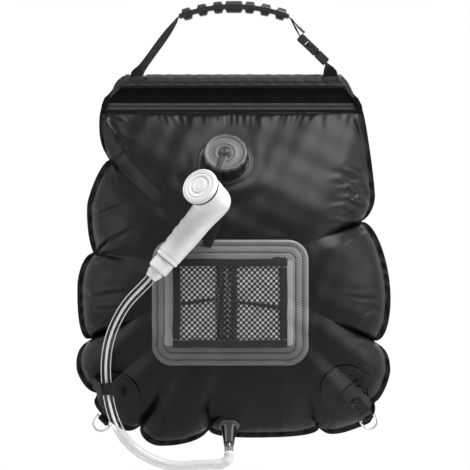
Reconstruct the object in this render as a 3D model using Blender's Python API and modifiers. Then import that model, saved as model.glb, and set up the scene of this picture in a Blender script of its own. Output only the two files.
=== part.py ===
"""A camp shower bag, full of water and hung by its grip, in metres with +Z up.

The origin is the flat underside of the grip's middle block. +X is the viewer's right,
and the side with the filler, the shower head and the pocket faces -Y.
"""

import math

import bmesh
import bpy
from mathutils import Matrix, Vector
from mathutils.bvhtree import BVHTree

for old in list(bpy.data.objects):
    bpy.data.objects.remove(old, do_unlink=True)

X_AXIS = Vector((1, 0, 0))
Y_AXIS = Vector((0, 1, 0))
Z_AXIS = Vector((0, 0, 1))

# Clearances
SEAT_GAP = 0.0003  # between two pieces that touch
SKIN_GAP = 0.0008  # under a sheet that follows the curved skin
RUN_GAP = 0.0005  # round a piece that turns or slides
CUT_OVERRUN = 0.004  # how far a cutter stands past what it cuts
TURN_STEPS = 24
MERGE_WITHIN = 0.00001  # points this close on a turning axis become one
CAP_WELD = 0.000005  # points this close where a curve's caps meet its sides become one
SLOPE_STEP = 0.010  # between the places that the skin's slope is read from

# Grip: an arched rubber band with blocks above and below it
GRIP_RISE = 0.0125
GRIP_WIDTH = 0.030
GRIP_BAND = 0.0062
GRIP_BLOCK_STAND = 0.0044
GRIP_BLOCK = 0.0105
GRIP_MIDDLE_BLOCK = 0.020
GRIP_BLOCK_PITCH = 0.0198
GRIP_SIDE_BLOCKS = 3
GRIP_END = 0.00385  # of the band past the last block
GRIP_LENGTH = 2 * (GRIP_SIDE_BLOCKS * GRIP_BLOCK_PITCH + GRIP_BLOCK / 2 + GRIP_END)
GRIP_EDGE_ROUND = 0.0009

# Webbing of the handle
WEB_WIDTH = 0.020
WEB_THICK = 0.0015
WEB_REACH = 0.120  # from the middle to each place where the webbing holds the rod

# Side-release buckle, from the socket's end down to the plug's end
BUCKLE_START_X = 0.0819
BUCKLE_START_DROP = 0.0294
BUCKLE_SLOPE_DEG = 43.9
BUCKLE_WIDTH = 0.026
BUCKLE_THICK = 0.0106
BUCKLE_WALL = 0.0024
SOCKET_LENGTH = 0.030
PLUG_LENGTH = 0.0165
BUCKLE_SLOT = 0.0090
BUCKLE_BAR = 0.0030
PRONG_THICK = 0.0022
PRONG_PAD = 0.0027
PRONG_PAD_LENGTH = 0.0075
PRONG_LENGTH = 0.0175
TONGUE_WIDTH = 0.0075

# Hem: a rod in a fabric sleeve over a flat welded band
SLEEVE_DROP = 0.0855  # grip underside to the rod's axis
SLEEVE_RADIUS = 0.008
SLEEVE_WALL = 0.001
SLEEVE_LENGTH = 0.288
SLEEVE_SLOT = 0.027
ROD_RADIUS = 0.005
ROD_BORE = 0.0035
ROD_INSET = 0.004
HEM_THICK = 0.003
HEM_TOP_HALF = 0.147
HEM_FOOT_HALF = 0.1615
WELD_HEIGHT = 0.0086
WELD_THICK = 0.0008
WELD_END_INSET = 0.005

# Bladder
BAG_HALF_WIDTH = 0.196
BAG_HALF_HEIGHT = 0.216
BAG_CENTRE_DROP = 0.325
BAG_HALF_DEPTH = 0.080
BAG_MARGIN = 0.0055
BAG_MARGIN_THICK = 0.0016
PUCKER_WIDTH = 0.019
LOBE_STEPS = 6
TOP_EDGE_STEPS = 10
# One row for each place where the seam is drawn in, anticlockwise from the top right:
# how far across and up it lies, how far the lobe after it swells, and where that lobe's crown is.
NOTCH_SHARES = (
    (0.816, 0.948, 0.000, 0.50),
    (-0.842, 0.948, 0.047, 0.40),
    (-0.784, 0.653, 0.094, 0.60),
    (-0.893, 0.116, 0.110, 0.50),
    (-0.899, -0.376, 0.136, 0.42),
    (-0.855, -0.688, 0.106, 0.50),
    (-0.593, -0.873, 0.131, 0.42),
    (-0.159, -0.896, 0.073, 0.60),
    (0.536, -0.879, 0.098, 0.38),
    (0.893, -0.746, 0.119, 0.50),
    (0.874, -0.387, 0.176, 0.38),
    (0.804, 0.295, 0.114, 0.30),
)
RING_SHARES = (0.20, 0.40, 0.57, 0.71, 0.82, 0.90, 0.955)
LOBE_SQUARE_SHARE = 2.6
EDGE_FULL_SHARE = 3.0
TOP_FULL_SHARE = 5.0
EDGE_SWELL_SHARE = 0.55
TOP_DEPTH_SHARE = 0.22
DEEP_FROM_SHARE = 0.50
PUCKER_SHARE = 0.34
CALM_SQUARE_SHARE = 3.0
CALM_REACH_SHARE = 0.95
CALM_TO_SHARE = 0.45

# Filler: flange, neck and cap on an axis tilted up from the front
FILLER_X = -0.0106
FILLER_DROP = 0.186
FILLER_TILT_DEG = 33
FLANGE_RADIUS = 0.035
FLANGE_THICK = 0.0016
FLANGE_RING = 0.0006
FLANGE_RING_PITCH = 0.003
NECK_RADIUS = 0.0205
NECK_BORE = 0.017
NECK_HEIGHT = 0.014
NECK_WELL = 0.042
CAP_RADIUS = 0.0285
CAP_WALL = 0.0045
CAP_TOP = 0.003
CAP_LOBES = 12
CAP_LOBE_SHARE = 0.03
CAP_EDGE_ROUND = 0.0012
CAP_SKIRT_GAP = 0.0011
GASKET_THICK = 0.002
GASKET_BORE = 0.014
RIVET_HEAD = 0.0055
RIVET_SHANK = 0.0028
RIVET_HEIGHT = 0.002
TETHER_WIDTH = 0.009
TETHER_THICK = 0.0012
TETHER_REACH = 0.034
TETHER_TURN_DEG = -107

# Outlet: spout, seal, clear adapter, ring and elbow on an axis that points down and forward
OUTLET_X = -0.00625
OUTLET_DROP = 0.5137
OUTLET_TILT_DEG = -58
SPOUT_FLANGE = 0.0135
SPOUT_FLANGE_THICK = 0.0015
SPOUT_TOP_RADIUS = 0.0106
SPOUT_END_RADIUS = 0.0064
SPOUT_LENGTH = 0.0265
SPOUT_BORE = 0.0044
SEAL_THICK = 0.0012
ADAPTER_RADIUS = 0.0060
ADAPTER_END_RADIUS = 0.0053
ADAPTER_LENGTH = 0.011
ADAPTER_PLUG = 0.008
ADAPTER_BORE = 0.0028
OUTLET_RING_RADIUS = 0.0063
OUTLET_RING_HEIGHT = 0.0024

# Hose: its route, chosen by hand from the elbow to the head
HOSE_DIAMETER = 0.0128
HOSE_STEP = 0.026
HOSE_LEAD = 0.006  # straight at each end, square to the fitting
ELBOW_LEAD = 0.002
ELBOW_REACH = 0.009
ELBOW_SWING_DEG = 62
HOSE_ROUTE = (
    (-0.0377, -0.0570, -0.5610),
    (-0.0630, -0.0570, -0.5655),
    (-0.0912, -0.0560, -0.5612),
    (-0.1180, -0.0540, -0.5481),
    (-0.1380, -0.0520, -0.5297),
    (-0.1498, -0.0500, -0.5062),
    (-0.1565, -0.0500, -0.4779),
    (-0.1595, -0.0530, -0.4525),
    (-0.1581, -0.0620, -0.4225),
    (-0.1498, -0.0760, -0.3925),
    (-0.1310, -0.0935, -0.3590),
)

# Shower head: a head at a right angle to its handle
HEAD_X = -0.0237
HEAD_DROP = 0.2360
HEAD_STAND = 0.1015  # elbow's middle in front of the bag's middle plane
HANDLE_SLOPE_DEG = 50.1
HEAD_TURN_DEG = 29.4
HEAD_LIFT_DEG = 26.1
HEAD_RADIUS = 0.0213
HEAD_LENGTH = 0.0335
ELBOW_RADIUS = 0.0198
HANDLE_RADIUS = 0.0172
HANDLE_END_RADIUS = 0.0155
HANDLE_LENGTH = 0.0945
HEAD_WALL = 0.0022
FACE_SEAL_THICK = 0.0022
FACE_SEAL_INSET = 0.0012
BEZEL_RADIUS = 0.0232
BEZEL_HEIGHT = 0.0075
BEZEL_LIP = 0.0022
BEZEL_EDGE = 0.0016
FACE_THICK = 0.0030
FACE_STEP = 0.0009
VALVE_COLLAR_RADIUS = 0.0133
VALVE_COLLAR_LENGTH = 0.0165
VALVE_STEM_RADIUS = 0.0085
VALVE_STEM_LENGTH = 0.016
VALVE_BORE = 0.0030
HOSE_NUT_RADIUS = 0.0100
HOSE_NUT_END_RADIUS = 0.0077
HOSE_NUT_LENGTH = 0.0115

# Strap behind the elbow
HOLDER_WIDTH = 0.012
HOLDER_FOOT_X = -0.0338
HOLDER_FOOT_DROP = 0.2915
HOLDER_TOP_X = -0.0135
HOLDER_TOP_DROP = 0.2470

# Pocket: a stitched patch, a net and four strips of binding tape
PATCH_WIDTH = 0.193
PATCH_HEIGHT = 0.155
PATCH_X = -0.0046
PATCH_DROP = 0.3612
PATCH_CORNER = 0.025
PATCH_THICK = 0.0009
PATCH_GAP = 0.0014
TAPE_WIDTH = 0.0094
TAPE_THICK = 0.0011
TAPE_END_GAP = 0.0016
TAPE_GAP = 0.0008
POCKET_WIDTH = 0.1405
POCKET_HEIGHT = 0.109
POCKET_DROP = 0.3617
LAYER_GAP = 0.0008
NET_THICK = 0.0008
NET_STRAND = 0.0011
NET_COLUMNS = 11
NET_ROWS = 7
NET_TUCK = 0.004
PLEAT_WIDTH = 0.0275
PLEAT_THICK = 0.0005
PLEAT_X = -0.0087

# Straps and rings at the lower corners
SPOT_RADIUS = 0.031
SPOT_THICK = 0.0009
SPOT_GAP = 0.0032
SPOT_STEPS = 20
SPOT_EDGE_SHARE = 0.94
SPOT_TRIM = 0.0005  # how finely a spot's reach is cut back to clear the seam
LEFT_SPOT_X = -0.1480
LEFT_SPOT_DROP = 0.4790
RIGHT_SPOT_X = 0.1385
RIGHT_SPOT_DROP = 0.4700
TAB_WIDTH = 0.015
TAB_THICK = 0.0014
RING_WIRE = 0.0013
RING_WIDTH = 0.021
RING_DEPTH = 0.0145
RING_ARC_STEPS = 10
# Each tab's sewn end, its ring's bar, and the way that the ring hangs, in the plane of the bag
LEFT_TAB_X = -0.1500
LEFT_TAB_DROP = 0.4888
LEFT_BAR_X = -0.1630
LEFT_BAR_DROP = 0.5080
LEFT_RING_DEG = 225
RIGHT_TAB_X = 0.1469
RIGHT_TAB_DROP = 0.4819
RIGHT_BAR_X = 0.1637
RIGHT_BAR_DROP = 0.5030
RIGHT_RING_DEG = 298
# The strap over the hose and the strap on the right, from end to end
HOSE_STRAP_GAP = 0.0007
HOSE_STRAP_ARCH_DEG = 66
SIDE_STRAP_GAP = 0.0024
HOSE_STRAP_START_X = -0.1735
HOSE_STRAP_START_DROP = 0.4588
HOSE_STRAP_END_X = -0.1380
HOSE_STRAP_END_DROP = 0.4769
SIDE_STRAP_START_X = 0.1300
SIDE_STRAP_START_DROP = 0.4825
SIDE_STRAP_END_X = 0.1680
SIDE_STRAP_END_DROP = 0.4530

ROD_CENTRE = Vector((0, 0, -SLEEVE_DROP))
BAG_CENTRE_Z = -BAG_CENTRE_DROP
BAG_TOP_Z = BAG_CENTRE_Z + NOTCH_SHARES[0][1] * BAG_HALF_HEIGHT

parts = bpy.data.collections.new("camp_shower_bag")
cutters = bpy.data.collections.new("cutters")
bpy.context.scene.collection.children.link(parts)
bpy.context.scene.collection.children.link(cutters)


def finish_of(name, colour, roughness, metallic=0.0, alpha=1.0):
    """A material of the piece's own."""
    made = bpy.data.materials.new(name)
    made.use_nodes = True
    shader = made.node_tree.nodes["Principled BSDF"]
    shader.inputs["Base Color"].default_value = (*colour, 1.0)
    shader.inputs["Roughness"].default_value = roughness
    shader.inputs["Metallic"].default_value = metallic
    shader.inputs["Alpha"].default_value = alpha
    return made


FABRIC = ((0.030, 0.031, 0.033), 0.55)
DARK_FABRIC = ((0.015, 0.015, 0.016), 0.6)
WEBBING = ((0.018, 0.018, 0.019), 0.75)
RUBBER = ((0.022, 0.022, 0.023), 0.5)
BLACK_PLASTIC = ((0.025, 0.025, 0.026), 0.35)
CAP_PLASTIC = ((0.13, 0.13, 0.135), 0.4)
GREY_PATCH = ((0.20, 0.20, 0.205), 0.55)
WHITE_PLASTIC = ((0.86, 0.86, 0.87), 0.25)
CLEAR_VINYL = ((0.82, 0.84, 0.85), 0.1, 0.0, 0.5)
GREY_VINYL = ((0.30, 0.31, 0.32), 0.25)
STEEL = ((0.55, 0.55, 0.56), 0.3, 1.0)


def frame_at(point, axis, across=X_AXIS):
    """A matrix whose +Z runs along the axis and whose +X is as near to across as it can be."""
    up = axis.normalized()
    side = (across - up * across.dot(up)).normalized()
    turn = Matrix((side, up.cross(side), up)).transposed().to_4x4()
    return Matrix.Translation(point) @ turn


def keep(made, finish):
    made.data.materials.clear()
    made.data.materials.append(finish_of(made.name, *finish))
    parts.objects.link(made)
    return made


def mesh_piece(name, built, place=None):
    """An object from a bmesh, which is freed."""
    bmesh.ops.recalc_face_normals(built, faces=built.faces)
    mesh = bpy.data.meshes.new(name)
    built.to_mesh(mesh)
    built.free()
    made = bpy.data.objects.new(name, mesh)
    made.matrix_world = place or Matrix()
    return made


def shade(made, angle_deg=40):
    made.data.shade_smooth()
    made.data.set_sharp_from_angle(angle=math.radians(angle_deg))
    return made


def box(name, low, high, place=None):
    """A box between two corners in its own frame."""
    built = bmesh.new()
    size = Vector(high) - Vector(low)
    middle = (Vector(high) + Vector(low)) / 2
    spread = Matrix.Translation(middle) @ Matrix.Diagonal((*size, 1))
    bmesh.ops.create_cube(built, size=1, matrix=spread)
    return mesh_piece(name, built, place)


def turned(name, profile, place, ring=False, steps=TURN_STEPS):
    """A turned piece. The profile is (radius, height) pairs that run down the outer side."""
    built = bmesh.new()
    corners = [built.verts.new((radius, 0, height)) for radius, height in profile]
    for first, second in zip(corners, corners[1:]):
        built.edges.new((first, second))
    if ring:
        built.edges.new((corners[-1], corners[0]))
    mesh = bpy.data.meshes.new(name)
    built.to_mesh(mesh)
    built.free()
    made = bpy.data.objects.new(name, mesh)
    made.matrix_world = place
    screw = made.modifiers.new("turn", "SCREW")
    screw.steps = steps
    screw.render_steps = steps
    screw.use_merge_vertices = True
    screw.merge_threshold = MERGE_WITHIN
    screw.use_smooth_shade = True
    return made


def ring_profile(outer, inner, low, high):
    return ((outer, high), (outer, low), (inner, low), (inner, high))


def mesh_of(curve_object):
    """The mesh that a curve object makes, with its caps welded, in place of the curve."""
    bpy.context.scene.collection.objects.link(curve_object)
    bpy.context.view_layer.update()
    graph = bpy.context.evaluated_depsgraph_get()
    mesh = bpy.data.meshes.new_from_object(curve_object.evaluated_get(graph))
    welded = bmesh.new()
    welded.from_mesh(mesh)
    bmesh.ops.remove_doubles(welded, verts=welded.verts, dist=CAP_WELD)
    bmesh.ops.recalc_face_normals(welded, faces=welded.faces)
    welded.to_mesh(mesh)
    welded.free()
    place = curve_object.matrix_world.copy()
    name = curve_object.name
    bpy.data.objects.remove(curve_object, do_unlink=True)
    made = bpy.data.objects.new(name, mesh)
    made.matrix_world = place
    return made


def outlined(name, outlines, thickness, place):
    """A flat piece: closed outlines in its own XY plane, as thick as asked about that plane."""
    curve = bpy.data.curves.new(name, "CURVE")
    curve.dimensions = "2D"
    curve.fill_mode = "BOTH"
    curve.extrude = thickness / 2
    for outline in outlines:
        spline = curve.splines.new("POLY")
        spline.points.add(len(outline) - 1)
        for point, (across, along) in zip(spline.points, outline):
            point.co = (across, along, 0, 1)
        spline.use_cyclic_u = True
    made = bpy.data.objects.new(name, curve)
    made.matrix_world = place
    return mesh_of(made)


def tube(name, points, radius, resolution=2, cyclic=False):
    """A curve object with a round bevel and filled caps."""
    curve = bpy.data.curves.new(name, "CURVE")
    curve.dimensions = "3D"
    curve.bevel_depth = radius
    curve.bevel_resolution = resolution
    curve.use_fill_caps = not cyclic
    spline = curve.splines.new("POLY")
    spline.points.add(len(points) - 1)
    for point, place in zip(spline.points, points):
        point.co = (*place, 1)
    spline.use_cyclic_u = cyclic
    spline.use_smooth = True
    return bpy.data.objects.new(name, curve)


def ribbon(name, stations, width, thickness):
    """A strap through (middle, across) stations, each section square to the path."""
    built = bmesh.new()
    rows = []
    for index, (middle, across) in enumerate(stations):
        before = stations[max(index - 1, 0)][0]
        after = stations[min(index + 1, len(stations) - 1)][0]
        across = across.normalized()
        out = across.cross(after - before).normalized()
        corners = []
        for side, rise in ((-1, -1), (1, -1), (1, 1), (-1, 1)):
            corner = middle + across * side * width / 2 + out * rise * thickness / 2
            corners.append(built.verts.new(corner))
        rows.append(corners)
    for first, second in zip(rows, rows[1:]):
        for index in range(4):
            following = (index + 1) % 4
            built.faces.new((first[index], first[following], second[following], second[index]))
    built.faces.new(rows[0])
    built.faces.new(rows[-1])
    return mesh_piece(name, built)


def boolean(target, other, operation):
    """Cuts or joins with an object that goes to the cutters' collection."""
    if other.name not in cutters.objects:
        cutters.objects.link(other)
        other.hide_render = True
        other.display_type = "WIRE"
    step = target.modifiers.new(other.name, "BOOLEAN")
    step.operation = operation
    step.object = other
    step.solver = "EXACT"
    return target


def rounded(target, width, segments=1):
    step = target.modifiers.new("round", "BEVEL")
    step.width = width
    step.segments = segments
    step.limit_method = "ANGLE"
    step.angle_limit = math.radians(40)
    return target


def carried_by(empty, *pieces):
    for piece in pieces:
        piece.parent = empty
        piece.matrix_parent_inverse = empty.matrix_world.inverted()


def pivot(name, place):
    made = bpy.data.objects.new(name, None)
    made.matrix_world = place
    parts.objects.link(made)
    return made


# Shape of the bladder


def notch_points():
    """Each notch's place about the middle, its angle, and the lobe that follows it."""
    found = []
    for across, up, bulge, crown in NOTCH_SHARES:
        x = across * BAG_HALF_WIDTH
        z = up * BAG_HALF_HEIGHT
        found.append((x, z, math.atan2(z, x) % math.tau, bulge, crown))
    return found


NOTCHES = notch_points()


def lobe_at(angle):
    """The lobe that a direction from the middle meets, and how far along it that is."""
    for index, first in enumerate(NOTCHES):
        second = NOTCHES[(index + 1) % len(NOTCHES)]
        span = (second[2] - first[2]) % math.tau
        gone = (angle - first[2]) % math.tau
        if gone <= span:
            return first, second, gone / span
    return NOTCHES[0], NOTCHES[1], 0.0


def edge_distance(angle):
    """From the bladder's middle to its edge in one direction."""
    first, second, along = lobe_at(angle)
    run_x = second[0] - first[0]
    run_z = second[1] - first[1]
    chord = (first[0] * run_z - first[1] * run_x) / (math.cos(angle) * run_z - math.sin(angle) * run_x)
    crown = first[4]
    rise = along / crown if along < crown else (1 - along) / (1 - crown)
    swell = (1 - (1 - min(rise, 1)) ** LOBE_SQUARE_SHARE) ** (1 / LOBE_SQUARE_SHARE)
    return chord * (1 + first[3] * swell)


def smooth(value):
    held = min(max(value, 0), 1)
    return held * held * (3 - 2 * held)


def calmed(reach, angle, away):
    """The distance to the edge, without its notches for places near the middle."""
    wide = abs(math.cos(angle)) / BAG_HALF_WIDTH
    high = abs(math.sin(angle)) / BAG_HALF_HEIGHT
    calm = (wide**CALM_SQUARE_SHARE + high**CALM_SQUARE_SHARE) ** (-1 / CALM_SQUARE_SHARE)
    outward = smooth((away / reach - CALM_TO_SHARE) / (1 - CALM_TO_SHARE))
    return CALM_REACH_SHARE * calm + (reach - CALM_REACH_SHARE * calm) * outward


def plain_half_thickness(x, z):
    """Half the full bag's thickness at a place, from the middle plane to the skin."""
    up = z - BAG_CENTRE_Z
    angle = math.atan2(up, x) % math.tau
    reach = edge_distance(angle)
    inner = min(math.hypot(x, up) / (calmed(reach, angle, math.hypot(x, up)) - BAG_MARGIN), 1)
    first, second, along = lobe_at(angle)
    full = EDGE_FULL_SHARE + (TOP_FULL_SHARE - EDGE_FULL_SHARE) * max(math.sin(angle), 0) ** 2
    swell = (1 - inner**full) ** EDGE_SWELL_SHARE
    sunk = (BAG_TOP_Z - z) / (BAG_TOP_Z - BAG_CENTRE_Z + BAG_HALF_HEIGHT)
    deep = TOP_DEPTH_SHARE + (1 - TOP_DEPTH_SHARE) * math.sin(min(sunk / DEEP_FROM_SHARE, 1) * math.pi / 2)
    near = min(along, 1 - along) * ((second[2] - first[2]) % math.tau) * reach / PUCKER_WIDTH
    top_edge = first[3] == 0
    pucker = 0 if top_edge else PUCKER_SHARE * math.exp(-near * near) * inner**4
    return BAG_MARGIN_THICK / 2 + BAG_HALF_DEPTH * deep * swell * (1 - pucker)


# Flat places in the front skin: middle, tilt and radius
FILLER_SEAT = (FILLER_X, -FILLER_DROP, FILLER_TILT_DEG, FLANGE_RADIUS)
OUTLET_SEAT = (OUTLET_X, -OUTLET_DROP, OUTLET_TILT_DEG, SPOUT_FLANGE)
SEAT_FADE_SHARE = 0.9


def half_thickness(x, z):
    """The front skin, which lies flat under the filler's and the outlet's flanges."""
    depth = plain_half_thickness(x, z)
    for seat_x, seat_z, tilt, radius in (FILLER_SEAT, OUTLET_SEAT):
        away = math.hypot(x - seat_x, (z - seat_z) / math.cos(math.radians(tilt)))
        flat = 1 - smooth((away - radius) / (radius * SEAT_FADE_SHARE))
        if flat > 0:
            level = plain_half_thickness(seat_x, seat_z) - math.tan(math.radians(tilt)) * (z - seat_z)
            depth += (level - depth) * flat
    return depth


def seat_frame(seat):
    """The frame of a flat seat: +Z out of the bag, +X across it."""
    seat_x, seat_z, tilt, _ = seat
    out = Vector((0, -math.cos(math.radians(tilt)), math.sin(math.radians(tilt))))
    return frame_at(Vector((seat_x, -half_thickness(seat_x, seat_z), seat_z)), out)


FILLER_FRAME = seat_frame(FILLER_SEAT)
OUTLET_FRAME = seat_frame(OUTLET_SEAT)


def edge_angles():
    """Directions to the edge's points, closer together towards each notch."""
    found = []
    for index, first in enumerate(NOTCHES):
        second = NOTCHES[(index + 1) % len(NOTCHES)]
        span = (second[2] - first[2]) % math.tau
        steps = TOP_EDGE_STEPS if first[3] == 0 else LOBE_STEPS
        for step in range(steps):
            gone = step / steps if first[3] == 0 else (1 - math.cos(math.pi * step / steps)) / 2
            if first[3] > 0:
                gone = gone ** (math.log(first[4]) / math.log(0.5))
            found.append(first[2] + span * gone)
    return found


def bladder_shape():
    """Rings of points from the middle out to the edge, on the front and the back."""
    built = bmesh.new()
    angles = edge_angles()
    sheets = []
    rim = []
    for angle in angles:
        reach = edge_distance(angle)
        rim_x = reach * math.cos(angle)
        rim_z = BAG_CENTRE_Z + reach * math.sin(angle)
        rim.append(
            (
                built.verts.new((rim_x, -BAG_MARGIN_THICK / 2, rim_z)),
                built.verts.new((rim_x, BAG_MARGIN_THICK / 2, rim_z)),
            )
        )
    for face, depth_at in enumerate((half_thickness, plain_half_thickness)):
        away = 2 * face - 1
        middle = built.verts.new((0, away * depth_at(0, BAG_CENTRE_Z), BAG_CENTRE_Z))
        rings = []
        for share in RING_SHARES + (1.0,):
            ring = []
            for angle in angles:
                reach = share * (edge_distance(angle) - BAG_MARGIN)
                x = reach * math.cos(angle)
                z = BAG_CENTRE_Z + reach * math.sin(angle)
                ring.append(built.verts.new((x, away * depth_at(x, z), z)))
            rings.append(ring)
        rings.append([pair[face] for pair in rim])
        sheets.append((middle, rings))
    count = len(angles)
    for middle, rings in sheets:
        for index in range(count):
            built.faces.new((middle, rings[0][index], rings[0][(index + 1) % count]))
        for inner, outer in zip(rings, rings[1:]):
            for index in range(count):
                after = (index + 1) % count
                built.faces.new((inner[index], outer[index], outer[after], inner[after]))
    for index in range(count):
        first = rim[index]
        second = rim[(index + 1) % count]
        built.faces.new((first[0], first[1], second[1], second[0]))
    bmesh.ops.triangulate(built, faces=built.faces)
    return built


SKIN = BVHTree.FromBMesh(bladder_shape())


def on_skin(x, z, lift=0.0):
    """A place on the front skin, or above it, square to its slope."""
    hit = SKIN.ray_cast(Vector((x, -BAG_HALF_WIDTH, z)), Y_AXIS)[0]
    place = hit or Vector((x, -BAG_MARGIN_THICK / 2, z))
    rise_x = half_thickness(x + SLOPE_STEP, z) - half_thickness(x - SLOPE_STEP, z)
    rise_z = half_thickness(x, z + SLOPE_STEP) - half_thickness(x, z - SLOPE_STEP)
    return place + Vector((-rise_x, -2 * SLOPE_STEP, -rise_z)).normalized() * lift


def strap_station(x, z, across, width, lift):
    """A strap's middle on the skin, and its slope from one edge to the other."""
    half = across.normalized() * width / 2
    edges = on_skin(x + half.x, z + half.z) - on_skin(x - half.x, z - half.z)
    return on_skin(x, z, lift), edges


def build_bladder():
    bladder = shade(mesh_piece("bladder", bladder_shape()))
    boolean(bladder, seat_cutter("filler_seat_cut", FILLER_FRAME, FLANGE_RADIUS), "DIFFERENCE")
    boolean(bladder, seat_cutter("outlet_seat_cut", OUTLET_FRAME, SPOUT_FLANGE), "DIFFERENCE")
    well = turned(
        "filler_well_cut",
        ((0, CUT_OVERRUN), (NECK_BORE, CUT_OVERRUN), (NECK_BORE, -NECK_WELL), (0, -NECK_WELL)),
        FILLER_FRAME,
    )
    boolean(bladder, well, "DIFFERENCE")
    return keep(bladder, FABRIC)


def seat_cutter(name, place, radius):
    """Cuts the skin flat, a gap under a flange."""
    wide = radius + SEAT_GAP
    high = radius / 2
    return turned(name, ((0, high), (wide, high), (wide, -SEAT_GAP), (0, -SEAT_GAP)), place)


# Handle


def grip_arc():
    """The grip's arc: its radius, the height of its centre and its half angle."""
    half = GRIP_LENGTH / 2
    radius = (half * half + GRIP_RISE * GRIP_RISE) / (2 * GRIP_RISE)
    reach = GRIP_BAND / 2 + GRIP_BLOCK_STAND
    block_angle = GRIP_MIDDLE_BLOCK / 2 / radius
    centre = -(radius - reach) * math.cos(block_angle)
    return radius, centre, math.asin(half / radius)


GRIP_RADIUS, GRIP_CENTRE_Z, GRIP_HALF_ANGLE = grip_arc()


def on_grip(angle, rise=0.0):
    """A point of the grip's arc, or above it, by its angle from straight up."""
    radius = GRIP_RADIUS + rise
    return Vector((radius * math.sin(angle), 0, GRIP_CENTRE_Z + radius * math.cos(angle)))


def grip_edge(side):
    """The upper or lower edge of the grip from left to right, in and out round each block."""
    band = side * GRIP_BAND / 2
    block = side * (GRIP_BAND / 2 + GRIP_BLOCK_STAND)
    edge = [on_grip(-GRIP_HALF_ANGLE, band)]
    for index in range(-GRIP_SIDE_BLOCKS, GRIP_SIDE_BLOCKS + 1):
        middle = index * GRIP_BLOCK_PITCH
        length = GRIP_BLOCK if index else GRIP_MIDDLE_BLOCK
        start = (middle - length / 2) / GRIP_RADIUS
        end = (middle + length / 2) / GRIP_RADIUS
        edge += [on_grip(start, band), on_grip(start, block), on_grip(end, block), on_grip(end, band)]
    edge.append(on_grip(GRIP_HALF_ANGLE, band))
    return edge


def arc_band(name, rise, thickness, width, spread=1.0):
    """A band along the grip's arc, as wide as asked in Y."""
    angles = [GRIP_HALF_ANGLE * spread * (2 * step / 12 - 1) for step in range(13)]
    return ribbon(name, [(on_grip(angle, rise), Y_AXIS) for angle in angles], width, thickness)


def build_grip():
    outline = grip_edge(1) + grip_edge(-1)[::-1]
    flat = frame_at(Vector(), -Y_AXIS)
    grip = outlined("grip", [[(point.x, point.z) for point in outline]], GRIP_WIDTH, flat)
    rounded(grip, GRIP_EDGE_ROUND)
    passage = arc_band("grip_passage_cut", 0, WEB_THICK + 2 * SEAT_GAP, WEB_WIDTH + 2 * SEAT_GAP, 1.06)
    boolean(grip, passage, "DIFFERENCE")
    return keep(grip, RUBBER)


def rod_eye(name, x):
    """The end of a strap, sewn into an eye round the hem's rod."""
    inner = ROD_RADIUS + SEAT_GAP
    place = frame_at(ROD_CENTRE + X_AXIS * x, X_AXIS, Y_AXIS)
    half = WEB_WIDTH / 2
    return turned(name, ring_profile(inner + WEB_THICK, inner, -half, half), place, ring=True)


def bar_eye(name, place):
    """The end of a strap, sewn into an eye round a buckle's bar, which lies across it."""
    inner = BUCKLE_BAR / 2 * math.sqrt(2) + SEAT_GAP
    across = frame_at(place.translation, Y_AXIS, place.to_3x3().col[2])
    half = WEB_WIDTH / 2
    return turned(name, ring_profile(inner + WEB_THICK, inner, -half, half), across, ring=True, steps=16)


def buckle_frame(along=0.0):
    """+Z down along the buckle, +X across it in Y, at a distance from the socket's end."""
    slope = math.radians(BUCKLE_SLOPE_DEG)
    down = Vector((math.cos(slope), 0, -math.sin(slope)))
    start = Vector((BUCKLE_START_X, 0, -BUCKLE_START_DROP))
    return frame_at(start + down * along, down, Y_AXIS)


EYE_RISE = ROD_RADIUS + SEAT_GAP + WEB_THICK / 2
SOCKET_BAR_AT = BUCKLE_SLOT / 2
PLUG_START = SOCKET_LENGTH + SEAT_GAP
PLUG_BAR_AT = PLUG_START + PLUG_LENGTH - BUCKLE_SLOT / 2
BAR_EYE_RISE = BUCKLE_BAR / 2 * math.sqrt(2) + SEAT_GAP + WEB_THICK / 2


def twisted(start, start_across, end, end_across, steps):
    """Stations from one place to another, with the strap's width turned on the way."""
    found = []
    for step in range(steps + 1):
        along = step / steps
        turn = smooth(along)
        found.append((start.lerp(end, along), start_across.lerp(end_across, turn)))
    return found


def build_handle_webbing():
    """One strap: round the rod, up through the grip, and down to the buckle's socket."""
    foot = ROD_CENTRE + Vector((-WEB_REACH, 0, EYE_RISE))
    bar = buckle_frame(SOCKET_BAR_AT).translation
    down = buckle_frame().to_3x3().col[2]
    left = on_grip(-GRIP_HALF_ANGLE)
    right = on_grip(GRIP_HALF_ANGLE)
    stations = twisted(foot, X_AXIS, left, Y_AXIS, 8)[:-1]
    stations += [(on_grip(GRIP_HALF_ANGLE * (step / 5 - 1)), Y_AXIS) for step in range(11)]
    stations.append((right.lerp(bar, 0.5), Y_AXIS))
    stations.append((bar - down * BAR_EYE_RISE, Y_AXIS))
    webbing = ribbon("handle_webbing", stations, WEB_WIDTH, WEB_THICK)
    boolean(webbing, rod_eye("left_rod_eye", -WEB_REACH), "UNION")
    boolean(webbing, bar_eye("socket_bar_eye", buckle_frame(SOCKET_BAR_AT)), "UNION")
    return keep(webbing, WEBBING)


def build_webbing_tail():
    """The strap's free end, folded back over it between the buckle and the grip."""
    bar = buckle_frame(SOCKET_BAR_AT).translation
    right = on_grip(GRIP_HALF_ANGLE)
    run = (bar - right).normalized()
    out = Y_AXIS.cross(run)
    lift = WEB_THICK + SEAT_GAP
    length = (bar - right).length
    near = 2 * WEB_THICK
    stations = []
    for share, bow in ((0.0, 0), (0.3, 1.1), (0.6, 1.3), (1.0, 0)):
        place = right + run * (near + (length - BAR_EYE_RISE * 3 - 2 * near) * share)
        stations.append((place + out * lift * (1 + bow), Y_AXIS))
    return keep(ribbon("webbing_tail", stations, WEB_WIDTH, WEB_THICK), WEBBING)


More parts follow.
